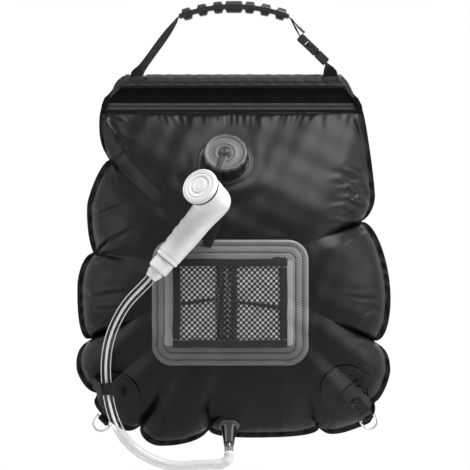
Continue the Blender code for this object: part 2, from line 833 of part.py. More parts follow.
def build_plug_webbing():
    """The short lower strap, round the plug's bar and round the rod."""
    foot = ROD_CENTRE + Vector((WEB_REACH, 0, EYE_RISE))
    bar = buckle_frame(PLUG_BAR_AT)
    down = bar.to_3x3().col[2]
    start = bar.translation + down * BAR_EYE_RISE
    webbing = ribbon("plug_webbing", twisted(start, Y_AXIS, foot, -X_AXIS, 6), WEB_WIDTH, WEB_THICK)
    boolean(webbing, bar_eye("plug_bar_eye", bar), "UNION")
    boolean(webbing, rod_eye("right_rod_eye", WEB_REACH), "UNION")
    return keep(webbing, WEBBING)


def strap_slot(name, near, far):
    """Cuts the slot that a strap's eye turns in, between two distances along the buckle."""
    half = WEB_WIDTH / 2 + SEAT_GAP
    deep = BUCKLE_THICK / 2 + CUT_OVERRUN
    return box(name, (-half, -deep, near), (half, deep, far), buckle_frame())


def buckle_bar(name, along):
    """The bar across a slot, sunk a little into the cheeks at both its ends."""
    half = WEB_WIDTH / 2 + SEAT_GAP * 2
    low = (-half, -BUCKLE_BAR / 2, along - BUCKLE_BAR / 2)
    return box(name, low, (half, BUCKLE_BAR / 2, along + BUCKLE_BAR / 2), buckle_frame())


CAVITY_HALF = BUCKLE_WIDTH / 2 - BUCKLE_WALL
CAVITY_THICK = BUCKLE_THICK - 2 * BUCKLE_WALL
PAD_END = SOCKET_LENGTH - PRONG_LENGTH + PRONG_PAD_LENGTH


def build_buckle_socket():
    half = BUCKLE_WIDTH / 2
    thick = BUCKLE_THICK / 2
    socket = box("buckle_socket", (-half, -thick, 0), (half, thick, SOCKET_LENGTH), buckle_frame())
    rounded(socket, BUCKLE_WALL * 0.5)
    cavity = box(
        "socket_cavity_cut",
        (-CAVITY_HALF, -CAVITY_THICK / 2, BUCKLE_SLOT + BUCKLE_WALL),
        (CAVITY_HALF, CAVITY_THICK / 2, SOCKET_LENGTH + CUT_OVERRUN),
        buckle_frame(),
    )
    boolean(socket, cavity, "DIFFERENCE")
    windows = box(
        "socket_window_cut",
        (-half - CUT_OVERRUN, -CAVITY_THICK / 2, PAD_END - PRONG_PAD_LENGTH - 2 * RUN_GAP),
        (half + CUT_OVERRUN, CAVITY_THICK / 2, PAD_END + RUN_GAP),
        buckle_frame(),
    )
    boolean(socket, windows, "DIFFERENCE")
    boolean(socket, strap_slot("socket_slot_cut", -CUT_OVERRUN, BUCKLE_SLOT), "DIFFERENCE")
    boolean(socket, buckle_bar("socket_bar", SOCKET_BAR_AT), "UNION")
    return keep(socket, BLACK_PLASTIC)


PRONG_INNER = CAVITY_HALF - PRONG_THICK - RUN_GAP * 2
PRONG_ROOT = 2 * PRONG_THICK


def build_buckle_plug():
    half = BUCKLE_WIDTH / 2
    thick = BUCKLE_THICK / 2
    end = PLUG_START + PLUG_LENGTH
    plug = box("buckle_plug", (-half, -thick, PLUG_START), (half, thick, end), buckle_frame())
    rounded(plug, BUCKLE_WALL * 0.5)
    boolean(plug, strap_slot("plug_slot_cut", end - BUCKLE_SLOT, end + CUT_OVERRUN), "DIFFERENCE")
    boolean(plug, buckle_bar("plug_bar", PLUG_BAR_AT), "UNION")
    tongue = box(
        "plug_tongue",
        (-TONGUE_WIDTH / 2, -CAVITY_THICK / 2 + RUN_GAP, SOCKET_LENGTH - PRONG_LENGTH),
        (TONGUE_WIDTH / 2, CAVITY_THICK / 2 - RUN_GAP, PLUG_START + BUCKLE_WALL / 2),
        buckle_frame(),
    )
    boolean(plug, tongue, "UNION")
    roots = box(
        "plug_root_cut",
        (-CAVITY_HALF, -CAVITY_THICK / 2 + RUN_GAP, PLUG_START - CUT_OVERRUN),
        (CAVITY_HALF, CAVITY_THICK / 2 - RUN_GAP, PLUG_START + PRONG_ROOT),
        buckle_frame(),
    )
    keep_middle = box(
        "plug_root_keep",
        (-PRONG_INNER + 2 * RUN_GAP, -BUCKLE_THICK, PLUG_START - 2 * CUT_OVERRUN),
        (PRONG_INNER - 2 * RUN_GAP, BUCKLE_THICK, PLUG_START + 2 * PRONG_ROOT),
        buckle_frame(),
    )
    boolean(roots, keep_middle, "DIFFERENCE")
    boolean(plug, roots, "DIFFERENCE")
    return keep(plug, BLACK_PLASTIC)


def build_prong(name, side):
    """A springy arm of the plug, whose pad fills the socket's side window."""
    root = buckle_frame(PLUG_START + PRONG_ROOT / 2)
    root = root @ Matrix.Translation((side * (PRONG_INNER + PRONG_THICK / 2), 0, 0))
    tip = -(PRONG_ROOT / 2 + SEAT_GAP + PRONG_LENGTH)
    back = PRONG_ROOT / 2 - RUN_GAP
    inner = -PRONG_THICK / 2
    outer = PRONG_THICK / 2
    pad = outer + PRONG_PAD
    pad_low = tip
    pad_high = tip + PRONG_PAD_LENGTH
    outline = [
        (side * inner, back),
        (side * outer, back),
        (side * outer, pad_high),
        (side * pad, pad_high),
        (side * pad, (pad_low + pad_high) / 2),
        (side * outer, pad_low),
        (side * inner, pad_low),
    ]
    flat = root @ Matrix.Rotation(math.radians(90), 4, "X")
    thick = CAVITY_THICK - 4 * RUN_GAP
    prong = outlined(name, [[(across, along) for across, along in outline]], thick, flat)
    carried_by(pivot(name + "_pivot", root), prong)
    return keep(prong, BLACK_PLASTIC)


# Hem


def build_hem(swing):
    along = frame_at(ROD_CENTRE, X_AXIS, Y_AXIS)
    half = SLEEVE_LENGTH / 2
    sleeve = turned(
        "rod_sleeve",
        ring_profile(SLEEVE_RADIUS, SLEEVE_RADIUS - SLEEVE_WALL, -half, half),
        along,
        ring=True,
    )
    for side in (-1, 1):
        middle = side * WEB_REACH
        slot = box(
            f"sleeve_slot_cut_{'left' if side < 0 else 'right'}",
            (middle - SLEEVE_SLOT / 2, -2 * SLEEVE_RADIUS, 0),
            (middle + SLEEVE_SLOT / 2, 2 * SLEEVE_RADIUS, 2 * SLEEVE_RADIUS),
            Matrix.Translation(ROD_CENTRE),
        )
        boolean(sleeve, slot, "DIFFERENCE")
    keep(sleeve, FABRIC)
    inset = half - ROD_INSET
    rod = turned("sleeve_rod", ring_profile(ROD_RADIUS, ROD_BORE, -inset, inset), along, ring=True, steps=20)
    keep(rod, WHITE_PLASTIC)
    top = -SLEEVE_DROP - SLEEVE_RADIUS - SEAT_GAP
    foot = BAG_TOP_Z + SEAT_GAP
    outline = [(-HEM_TOP_HALF, top), (HEM_TOP_HALF, top), (HEM_FOOT_HALF, foot), (-HEM_FOOT_HALF, foot)]
    band = outlined("hem_band", [outline], HEM_THICK, frame_at(Vector(), -Y_AXIS))
    keep(band, DARK_FABRIC)
    made = [sleeve, rod, band]
    for name, side in (("weld_strip_front", -1), ("weld_strip_back", 1)):
        near = side * (HEM_THICK / 2 + SEAT_GAP)
        far = near + side * WELD_THICK
        reach = HEM_FOOT_HALF - WELD_END_INSET
        low = (-reach, min(near, far), foot)
        strip = box(name, low, (reach, max(near, far), foot + WELD_HEIGHT))
        made.append(keep(strip, FABRIC))
    carried_by(swing, *made)


# Filler


def lobed_outline(radius, count):
    steps = count * 4
    found = []
    for step in range(steps):
        angle = math.tau * step / steps
        reach = radius * (1 + CAP_LOBE_SHARE * (math.cos(count * angle) - 1) / 2)
        found.append((reach * math.cos(angle), reach * math.sin(angle)))
    return found


NECK_TOP = FLANGE_THICK + NECK_HEIGHT
CAP_CEILING = NECK_TOP + SEAT_GAP + GASKET_THICK + SEAT_GAP
CAP_FACE = CAP_CEILING + CAP_TOP
CAP_FOOT = FLANGE_THICK + CAP_SKIRT_GAP


def build_filler(swing):
    rings = []
    for index in range(2):
        inner = FLANGE_RADIUS - FLANGE_RING_PITCH * (index + 0.5)
        rings += [(inner, FLANGE_THICK), (inner - FLANGE_RING, FLANGE_THICK + FLANGE_RING)]
        rings += [(inner - FLANGE_RING * 2, FLANGE_THICK)]
    profile = [(NECK_BORE, NECK_TOP), (NECK_RADIUS, NECK_TOP), (NECK_RADIUS, FLANGE_THICK)]
    profile += rings[::-1]
    profile += [(FLANGE_RADIUS, FLANGE_THICK), (FLANGE_RADIUS, 0), (NECK_BORE, 0)]
    neck = keep(turned("filler_neck", profile, FILLER_FRAME, ring=True), BLACK_PLASTIC)
    height = CAP_FACE - CAP_FOOT
    middle = FILLER_FRAME @ Matrix.Translation((0, 0, CAP_FOOT + height / 2))
    cap = outlined("filler_cap", [lobed_outline(CAP_RADIUS, CAP_LOBES)], height, middle)
    rounded(cap, CAP_EDGE_ROUND)
    hollow = CAP_RADIUS - CAP_WALL
    cavity = (
        (0, CAP_CEILING),
        (hollow, CAP_CEILING),
        (hollow, CAP_FOOT - CUT_OVERRUN),
        (0, CAP_FOOT - CUT_OVERRUN),
    )
    boolean(cap, turned("cap_cavity_cut", cavity, FILLER_FRAME), "DIFFERENCE")
    hole = RIVET_SHANK + RUN_GAP
    high = CAP_FACE + CUT_OVERRUN
    drill = turned("cap_hole_cut", ((0, high), (hole, high), (hole, NECK_TOP), (0, NECK_TOP)), FILLER_FRAME)
    boolean(cap, drill, "DIFFERENCE")
    keep(cap, CAP_PLASTIC)
    gasket_low = NECK_TOP + SEAT_GAP
    gasket = turned(
        "cap_gasket",
        ring_profile(hollow - SEAT_GAP, GASKET_BORE, gasket_low, gasket_low + GASKET_THICK),
        FILLER_FRAME,
        ring=True,
    )
    keep(gasket, RUBBER)
    tether_low = CAP_FACE + SEAT_GAP
    head_low = tether_low + TETHER_THICK + SEAT_GAP
    head_high = head_low + RIVET_HEIGHT
    tail_high = CAP_CEILING - SEAT_GAP
    tail_low = tail_high - RIVET_HEIGHT / 2
    rivet_profile = (
        (0, head_high),
        (RIVET_HEAD * 0.8, head_high),
        (RIVET_HEAD, head_high - RIVET_HEIGHT * 0.4),
        (RIVET_HEAD, head_low),
        (RIVET_SHANK, head_low),
        (RIVET_SHANK, tail_high),
        (RIVET_HEAD, tail_high),
        (RIVET_HEAD, tail_low),
        (0, tail_low),
    )
    rivet = keep(turned("cap_rivet", rivet_profile, FILLER_FRAME, steps=20), BLACK_PLASTIC)
    tether = build_tether(tether_low)
    lift = pivot("cap_axis", FILLER_FRAME)
    carried_by(lift, cap, gasket, rivet)
    carried_by(swing, lift, neck, tether)


def build_tether(low):
    """A strap from an eye round the rivet, over the cap's edge and down to the skin."""
    turn = math.radians(TETHER_TURN_DEG)
    level = low + TETHER_THICK / 2
    out = Vector((math.cos(turn), math.sin(turn), 0))
    across = FILLER_FRAME.to_3x3() @ Vector((-math.sin(turn), math.cos(turn), 0))
    start = RIVET_SHANK + RUN_GAP + TETHER_THICK
    edge = CAP_RADIUS + SEAT_GAP
    side = CAP_RADIUS + TETHER_THICK * 1.5
    path = [
        (start, level),
        (edge * 0.8, level),
        (edge, level - TETHER_THICK * 0.3),
        (side, level - TETHER_THICK * 2),
        (side + TETHER_THICK, level / 2),
        (TETHER_REACH + TETHER_THICK, FLANGE_THICK + 2 * TETHER_THICK),
        (TETHER_REACH + TETHER_WIDTH, FLANGE_THICK + TETHER_THICK),
    ]
    stations = []
    for reach, height in path:
        stations.append((FILLER_FRAME @ (out * reach + Z_AXIS * height), across))
    tether = ribbon("cap_tether", stations, TETHER_WIDTH, TETHER_THICK)
    hole = RIVET_SHANK + RUN_GAP
    sunk = TETHER_THICK / 8
    eye = ring_profile(hole + TETHER_THICK * 2, hole, low + sunk, low + TETHER_THICK - sunk)
    boolean(tether, turned("tether_eye", eye, FILLER_FRAME, ring=True, steps=20), "UNION")
    return keep(tether, BLACK_PLASTIC)


# Outlet

SPOUT_END = SPOUT_FLANGE_THICK + SPOUT_LENGTH
ADAPTER_START = SPOUT_END + SEAT_GAP + SEAL_THICK + SEAT_GAP
ADAPTER_END = ADAPTER_START + ADAPTER_LENGTH
OUTLET_END = ADAPTER_END + SEAT_GAP + OUTLET_RING_HEIGHT
ELBOW_START = OUTLET_END + SEAT_GAP


def build_outlet(swing):
    profile = (
        (SPOUT_BORE, SPOUT_END),
        (SPOUT_END_RADIUS, SPOUT_END),
        (SPOUT_TOP_RADIUS, SPOUT_FLANGE_THICK),
        (SPOUT_FLANGE, SPOUT_FLANGE_THICK),
        (SPOUT_FLANGE, 0),
        (SPOUT_BORE, 0),
    )
    spout = keep(turned("outlet_spout", profile, OUTLET_FRAME, ring=True), BLACK_PLASTIC)
    seal_low = SPOUT_END + SEAT_GAP
    plug = SPOUT_BORE - SEAT_GAP
    seal = ring_profile(SPOUT_END_RADIUS, SPOUT_BORE, seal_low, seal_low + SEAL_THICK)
    seal = keep(turned("outlet_seal", seal, OUTLET_FRAME, ring=True), RUBBER)
    adapter_profile = (
        (ADAPTER_BORE, ADAPTER_END),
        (ADAPTER_END_RADIUS, ADAPTER_END),
        (ADAPTER_RADIUS, ADAPTER_START),
        (plug, ADAPTER_START),
        (plug, ADAPTER_START - ADAPTER_PLUG),
        (ADAPTER_BORE, ADAPTER_START - ADAPTER_PLUG),
    )
    adapter = keep(turned("outlet_adapter", adapter_profile, OUTLET_FRAME, ring=True), GREY_VINYL)
    ring = ring_profile(OUTLET_RING_RADIUS, ADAPTER_BORE, ADAPTER_END + SEAT_GAP, OUTLET_END)
    ring = keep(turned("outlet_ring", ring, OUTLET_FRAME, ring=True), WHITE_PLASTIC)
    elbow = keep(tube("hose_elbow", elbow_points(), HOSE_DIAMETER / 2, 3), CLEAR_VINYL)
    carried_by(swing, spout, seal, adapter, ring, elbow)


def elbow_points():
    """The elbow's middle line: straight out of the outlet, then round towards the left."""
    out = OUTLET_FRAME.to_3x3().col[2]
    start = OUTLET_FRAME @ Vector((0, 0, ELBOW_START))
    swing = math.radians(ELBOW_SWING_DEG)
    points = [start]
    for step in range(6):
        angle = swing * step / 5
        sideways = ELBOW_REACH * (1 - math.cos(angle))
        onward = ELBOW_LEAD + ELBOW_REACH * math.sin(angle)
        points.append(start + out * onward - X_AXIS * sideways)
    return points


def smooth_route(route, step):
    """Points at an even pitch along a smooth curve through the route's points."""
    fine = []
    for index in range(len(route) - 1):
        before = route[max(index - 1, 0)]
        first = route[index]
        second = route[index + 1]
        after = route[min(index + 2, len(route) - 1)]
        for part in range(12):
            t = part / 12
            slope_in = (second - before) / 2
            slope_out = (after - first) / 2
            fine.append(
                first * (2 * t**3 - 3 * t**2 + 1)
                + slope_in * (t**3 - 2 * t**2 + t)
                + second * (3 * t**2 - 2 * t**3)
                + slope_out * (t**3 - t**2)
            )
    fine.append(route[-1])
    length = sum((b - a).length for a, b in zip(fine, fine[1:]))
    count = max(round(length / step), 2)
    pitch = length / count
    points = [fine[0]]
    gone = 0.0
    for first, second in zip(fine, fine[1:]):
        gone += (second - first).length
        if gone >= pitch * len(points) and len(points) < count:
            points.append(second)
    points.append(fine[-1])
    return points, length


def build_hose(swing):
    elbow = elbow_points()
    lead = (elbow[-1] - elbow[-2]).normalized()
    start = elbow[-1] + lead * SEAT_GAP
    axis = handle_frame().to_3x3().col[2]
    end = handle_frame() @ Vector((0, 0, HOSE_NUT_END + SEAT_GAP))
    route = [start + lead * HOSE_LEAD, start + lead * 2 * HOSE_LEAD]
    route += [Vector(point) for point in HOSE_ROUTE]
    route += [end + axis * 3 * HOSE_LEAD, end + axis * HOSE_LEAD]
    points, length = smooth_route(route, HOSE_STEP)
    points = [start] + points + [end]
    print(f"hose: {length + 2 * HOSE_LEAD:.3f} m in {len(points)} points")
    hose = keep(tube("hose", points, HOSE_DIAMETER / 2, 3), CLEAR_VINYL)
    carried_by(swing, hose)


# Shower head


def elbow_place():
    return Vector((HEAD_X, -HEAD_STAND, -HEAD_DROP))


def handle_frame():
    """+Z from the elbow down along the handle."""
    slope = math.radians(HANDLE_SLOPE_DEG)
    return frame_at(elbow_place(), Vector((-math.cos(slope), 0, -math.sin(slope))), Y_AXIS)


def head_frame():
    """+Z from the elbow out towards the spray face."""
    turn = math.radians(HEAD_TURN_DEG)
    lift = math.radians(HEAD_LIFT_DEG)
    out = Vector((-math.sin(turn) * math.cos(lift), -math.cos(turn) * math.cos(lift), math.sin(lift)))
    return frame_at(elbow_place(), out, X_AXIS)


COLLAR_START = HANDLE_LENGTH + SEAT_GAP
COLLAR_END = COLLAR_START + VALVE_COLLAR_LENGTH
HOSE_NUT_START = COLLAR_END + SEAT_GAP
HOSE_NUT_END = HOSE_NUT_START + HOSE_NUT_LENGTH


def dome(radius, steps=5):
    """The lower half of a ball as profile points, from its equator to its foot."""
    angles = [math.pi / 2 * step / steps for step in range(1, steps + 1)]
    return [(radius * math.cos(angle), -radius * math.sin(angle)) for angle in angles[:-1]] + [(0, -radius)]


def build_head(swing):
    handle = handle_frame()
    head = head_frame()
    length = HANDLE_LENGTH
    handle_profile = [(0, length), (HANDLE_END_RADIUS, length), (HANDLE_RADIUS, length * 0.55)]
    handle_profile += [(HANDLE_RADIUS, length * 0.35), (ELBOW_RADIUS, 0)] + dome(ELBOW_RADIUS)
    shell = turned("head_shell", handle_profile, handle)
    head_profile = [(0, HEAD_LENGTH), (HEAD_RADIUS, HEAD_LENGTH), (ELBOW_RADIUS, 0)] + dome(ELBOW_RADIUS)
    boolean(shell, turned("head_barrel", head_profile, head), "UNION")
    bore = HANDLE_END_RADIUS - HEAD_WALL
    handle_bore = ((0, length + CUT_OVERRUN), (bore, length + CUT_OVERRUN), (bore, 0), (0, 0))
    boolean(shell, turned("handle_bore_cut", handle_bore, handle, steps=20), "DIFFERENCE")
    head_hollow = HEAD_RADIUS - HEAD_WALL
    high = HEAD_LENGTH + CUT_OVERRUN
    head_bore = ((0, high), (head_hollow, high), (head_hollow, length * 0.15), (bore, 0), (0, -bore / 2))
    boolean(shell, turned("head_bore_cut", head_bore, head, steps=20), "DIFFERENCE")
    keep(shell, WHITE_PLASTIC)

    seal_low = HEAD_LENGTH + SEAT_GAP
    seal_high = seal_low + FACE_SEAL_THICK
    seal_outer = HEAD_RADIUS - FACE_SEAL_INSET
    seal = turned(
        "face_seal", ring_profile(seal_outer, head_hollow - HEAD_WALL, seal_low, seal_high), head, ring=True
    )
    keep(seal, RUBBER)
    bezel_low = seal_high + SEAT_GAP
    bezel_high = bezel_low + BEZEL_HEIGHT
    window = BEZEL_RADIUS - BEZEL_LIP
    ledge = window - BEZEL_LIP
    bezel_profile = (
        (window, bezel_high),
        (BEZEL_RADIUS - BEZEL_EDGE, bezel_high),
        (BEZEL_RADIUS, bezel_high - BEZEL_EDGE),
        (BEZEL_RADIUS, bezel_low + BEZEL_EDGE),
        (BEZEL_RADIUS - BEZEL_EDGE, bezel_low),
        (ledge, bezel_low),
        (ledge, bezel_high - FACE_THICK - SEAT_GAP),
        (window, bezel_high - FACE_THICK - SEAT_GAP),
    )
    bezel = keep(turned("face_bezel", bezel_profile, head, ring=True), WHITE_PLASTIC)
    disc = window - SEAT_GAP
    face_profile = (
        (0, bezel_high),
        (disc * 0.42, bezel_high),
        (disc * 0.45, bezel_high - FACE_STEP),
        (disc * 0.60, bezel_high - FACE_STEP),
        (disc * 0.64, bezel_high),
        (disc, bezel_high),
        (disc, bezel_high - FACE_THICK),
        (0, bezel_high - FACE_THICK),
    )
    face = keep(turned("spray_face", face_profile, head), WHITE_PLASTIC)
    face_axis = pivot("face_axis", head)
    carried_by(face_axis, bezel, face)

    stem_foot = COLLAR_START - VALVE_STEM_LENGTH
    stem_radius = VALVE_STEM_RADIUS
    collar_profile = (
        (VALVE_BORE, COLLAR_END),
        (VALVE_COLLAR_RADIUS * 0.9, COLLAR_END),
        (VALVE_COLLAR_RADIUS, COLLAR_END - VALVE_COLLAR_LENGTH * 0.15),
        (VALVE_COLLAR_RADIUS, COLLAR_START),
        (stem_radius + SEAT_GAP, COLLAR_START),
        (stem_radius + SEAT_GAP, COLLAR_START + VALVE_COLLAR_LENGTH / 2),
        (VALVE_BORE, COLLAR_START + VALVE_COLLAR_LENGTH / 2),
    )
    collar = keep(turned("valve_collar", collar_profile, handle, ring=True), WHITE_PLASTIC)
    stem_top = COLLAR_START + VALVE_COLLAR_LENGTH / 2 - SEAT_GAP
    stem_profile = ring_profile(stem_radius, VALVE_BORE, stem_foot, stem_top)
    stem = keep(turned("valve_stem", stem_profile, handle, ring=True, steps=20), BLACK_PLASTIC)
    collar_axis = pivot("collar_axis", handle)
    carried_by(collar_axis, collar, stem)

    insert_low = stem_foot - HEAD_WALL
    insert_profile = (
        (stem_radius + RUN_GAP, length - HEAD_WALL),
        (bore - SEAT_GAP, length - HEAD_WALL),
        (bore - SEAT_GAP, insert_low),
        (VALVE_BORE, insert_low),
        (VALVE_BORE, stem_foot - SEAT_GAP),
        (stem_radius + RUN_GAP, stem_foot - SEAT_GAP),
    )
    insert = keep(turned("valve_seat", insert_profile, handle, ring=True, steps=20), WHITE_PLASTIC)
    nut_profile = (
        (0, HOSE_NUT_END),
        (HOSE_NUT_END_RADIUS, HOSE_NUT_END),
        (HOSE_NUT_RADIUS, HOSE_NUT_START + HOSE_NUT_LENGTH * 0.45),
        (HOSE_NUT_RADIUS, HOSE_NUT_START),
        (0, HOSE_NUT_START),
    )
    nut = keep(turned("hose_nut", nut_profile, handle), WHITE_PLASTIC)
    lift = pivot("head_lift", Matrix.Translation(elbow_place()))
    carried_by(lift, shell, seal, insert, nut, face_axis, collar_axis)
    carried_by(swing, lift)


def build_holder_strap(swing):
    """A strap from the pocket's patch up behind the elbow, which lies against it."""
    foot_x, foot_z = HOLDER_FOOT_X, -HOLDER_FOOT_DROP
    top_x, top_z = HOLDER_TOP_X, -HOLDER_TOP_DROP
    across = Vector((top_z - foot_z, 0, foot_x - top_x)).normalized()
    back = HEAD_STAND - ELBOW_RADIUS - SEAT_GAP - WEB_THICK / 2
    lift = PATCH_TOP + LAYER_GAP + WEB_THICK / 2
    stations = []
    for step in range(7):
        along = step / 6
        x = foot_x + (top_x - foot_x) * along
        z = foot_z + (top_z - foot_z) * along
        close = on_skin(x, z, lift)
        if along > 0.5:
            close.y = min(close.y, close.y + (-back - close.y) * smooth(along * 2 - 1))
        stations.append((close, across))
    strap = keep(ribbon("head_holder_strap", stations, HOLDER_WIDTH, WEB_THICK), WEBBING)
    carried_by(swing, strap)


# Pocket


def rounded_box_outline(width, height, corner, side_steps, corner_steps=3):
    """Points round a rectangle with round corners, anticlockwise from its lower right."""
    found = []
    for turn in range(4):
        start = math.radians(90 * turn - 90)
        sign_x = 1 if turn in (0, 1) else -1
        sign_z = 1 if turn in (1, 2) else -1
        middle_x = sign_x * (width / 2 - corner)
        middle_z = sign_z * (height / 2 - corner)
        for step in range(corner_steps + 1):
            angle = start + math.pi / 2 * step / corner_steps
            found.append((middle_x + corner * math.cos(angle), middle_z + corner * math.sin(angle)))
    filled = []
    for index, first in enumerate(found):
        second = found[(index + 1) % len(found)]
        filled.append(first)
        if index % (corner_steps + 1) == corner_steps:
            for step in range(1, side_steps):
                share = step / side_steps
                x = first[0] + (second[0] - first[0]) * share
                filled.append((x, first[1] + (second[1] - first[1]) * share))
    return filled


def skin_sheet(name, middle, outline, lift, thickness, rings):
    """A sheet on the front skin: rings of points from its middle out to its outline."""
    built = bmesh.new()
    centre = built.verts.new(on_skin(*middle, lift))
    rows = []
    for ring in range(1, rings + 1):
        share = ring / rings
        row = []
        for x, z in outline:
            place = (middle[0] + (x - middle[0]) * share, middle[1] + (z - middle[1]) * share)
            row.append(built.verts.new(on_skin(*place, lift)))
        rows.append(row)
    count = len(outline)
    for index in range(count):
        after = (index + 1) % count
        built.faces.new((centre, rows[0][index], rows[0][after]))
        for inner, outer in zip(rows, rows[1:]):
            built.faces.new((inner[index], outer[index], outer[after], inner[after]))
    sheet = mesh_piece(name, built)
    if sheet.data.polygons[0].normal.y > 0:
        sheet.data.flip_normals()
    shell = sheet.modifiers.new("thickness", "SOLIDIFY")
    shell.thickness = thickness
    shell.offset = 1
    return sheet


def skin_strip(name, start, end, width, lift, thickness, steps):
    """A straight strip on the front skin between two places."""
    run = Vector((end[0] - start[0], 0, end[1] - start[1]))
    across = Vector((run.z, 0, -run.x)).normalized()
    stations = []
    for step in range(steps + 1):
        share = step / steps
        x = start[0] + run.x * share
        z = start[1] + run.z * share
        stations.append(strap_station(x, z, across, width, lift + thickness / 2))
    return ribbon(name, stations, width, thickness)


PATCH_TOP = PATCH_GAP + PATCH_THICK
NET_LOW = PATCH_TOP + LAYER_GAP
TAPE_LOW = NET_LOW + NET_THICK + TAPE_GAP


def build_net():
    """Diamond gaps between thin strands, with the triangles along its border left whole."""
    width = POCKET_WIDTH - 2 * TAPE_WIDTH + 2 * NET_TUCK
    height = POCKET_HEIGHT - 2 * TAPE_WIDTH + 2 * NET_TUCK
    pitch_x = width / NET_COLUMNS
    pitch_z = height / NET_ROWS
    built = bmesh.new()
    corners = {}

    def corner(column, row):
        if (column, row) not in corners:
            x = PATCH_X - width / 2 + column * pitch_x / 2
            z = -POCKET_DROP - height / 2 + row * pitch_z / 2
            corners[column, row] = built.verts.new(on_skin(x, z, NET_LOW))
        return corners[column, row]

    last_column = 2 * NET_COLUMNS
    last_row = 2 * NET_ROWS
    diamonds = []
    for column in range(1, last_column):
        for row in range(1, last_row):
            if (column + row) % 2:
                continue
            around = ((column, row - 1), (column + 1, row), (column, row + 1), (column - 1, row))
            diamonds.append(built.faces.new([corner(*place) for place in around]))
    for column in range(2, last_column, 2):
        for row, inward in ((0, 1), (last_row, -1)):
            built.faces.new((corner(column - 1, row), corner(column + 1, row), corner(column, row + inward)))
    for row in range(2, last_row, 2):
        for column, inward in ((0, 1), (last_column, -1)):
            built.faces.new((corner(column, row + 1), corner(column, row - 1), corner(column + inward, row)))
    for column, row in ((0, 0), (last_column, 0), (0, last_row), (last_column, last_row)):
        beside = 1 if column == 0 else column - 1
        over = 1 if row == 0 else row - 1
        built.faces.new((corner(column, row), corner(beside, row), corner(column, over)))
    bmesh.ops.recalc_face_normals(built, faces=built.faces)
    bmesh.ops.inset_individual(built, faces=diamonds, thickness=NET_STRAND / 2, use_even_offset=True)
    bmesh.ops.delete(built, geom=diamonds, context="FACES")
    print(f"net: {len(diamonds)} gaps")
    net = mesh_piece("pocket_net", built)
    if net.data.polygons[0].normal.y > 0:
        net.data.flip_normals()
    shell = net.modifiers.new("thickness", "SOLIDIFY")
    shell.thickness = NET_THICK
    shell.offset = 1
    return net


def build_pocket(swing):
    outline = rounded_box_outline(PATCH_WIDTH, PATCH_HEIGHT, PATCH_CORNER, 6)
    outline = [(PATCH_X + x, -PATCH_DROP + z) for x, z in outline]
    patch = skin_sheet("pocket_patch", (PATCH_X, -PATCH_DROP), outline, PATCH_GAP, PATCH_THICK, 6)
    keep(patch, GREY_PATCH)
    net = keep(build_net(), DARK_FABRIC)
    half_width = POCKET_WIDTH / 2 - TAPE_WIDTH / 2
    half_height = POCKET_HEIGHT / 2 - TAPE_WIDTH / 2
    left = PATCH_X - half_width
    right = PATCH_X + half_width
    top = -POCKET_DROP + half_height
    foot = -POCKET_DROP - half_height
    inner = half_height - TAPE_WIDTH / 2 - TAPE_END_GAP
    tapes = (
        ("binding_top", (left - TAPE_WIDTH / 2, top), (right + TAPE_WIDTH / 2, top)),
        ("binding_bottom", (left - TAPE_WIDTH / 2, foot), (right + TAPE_WIDTH / 2, foot)),
        ("binding_left", (left, -POCKET_DROP - inner), (left, -POCKET_DROP + inner)),
        ("binding_right", (right, -POCKET_DROP - inner), (right, -POCKET_DROP + inner)),
    )
    made = [patch, net]
    for name, start, end in tapes:
        tape = skin_strip(name, start, end, TAPE_WIDTH, TAPE_LOW, TAPE_THICK, 10)
        made.append(keep(tape, WEBBING))
    pleat_low = NET_LOW + NET_THICK + LAYER_GAP
    pleat = skin_strip(
        "pocket_pleat",
        (PLEAT_X, foot + TAPE_WIDTH / 2),
        (PLEAT_X, top - TAPE_WIDTH / 2),
        PLEAT_WIDTH,
        pleat_low,
        PLEAT_THICK,
        14,
    )
    made.append(keep(pleat, DARK_FABRIC))
    carried_by(swing, *made)


# Lower corners


def held_inside(x, z, angle):
    """The furthest place from a spot's middle, in one direction, that clears the seam's margin."""
    reach = SPOT_RADIUS
    while reach > SPOT_TRIM:
        place = (x + reach * math.cos(angle), z + reach * math.sin(angle))
        up = place[1] - BAG_CENTRE_Z
        edge = edge_distance(math.atan2(up, place[0]) % math.tau) - BAG_MARGIN
        if math.hypot(place[0], up) <= SPOT_EDGE_SHARE * edge:
            return place
        reach -= SPOT_TRIM
    return x, z


def build_spot(name, x, drop):
    outline = [held_inside(x, -drop, math.tau * step / SPOT_STEPS) for step in range(SPOT_STEPS)]
    return keep(skin_sheet(name, (x, -drop), outline, SPOT_GAP, SPOT_THICK, 4), FABRIC)


SPOT_TOP = SPOT_GAP + SPOT_THICK
TAB_LIFT = SPOT_TOP + LAYER_GAP + TAB_THICK / 2
EYE_INNER = RING_WIRE + SEAT_GAP


def ring_frame(bar_x, bar_drop, out_deg):
    """+Z along the ring's bar, +X the way that the ring hangs."""
    turn = math.radians(out_deg)
    out = Vector((math.cos(turn), 0, math.sin(turn)))
    place = on_skin(bar_x, -bar_drop, 3 * SKIN_GAP + EYE_INNER + TAB_THICK)
    return frame_at(place, out.cross(-Y_AXIS), out)


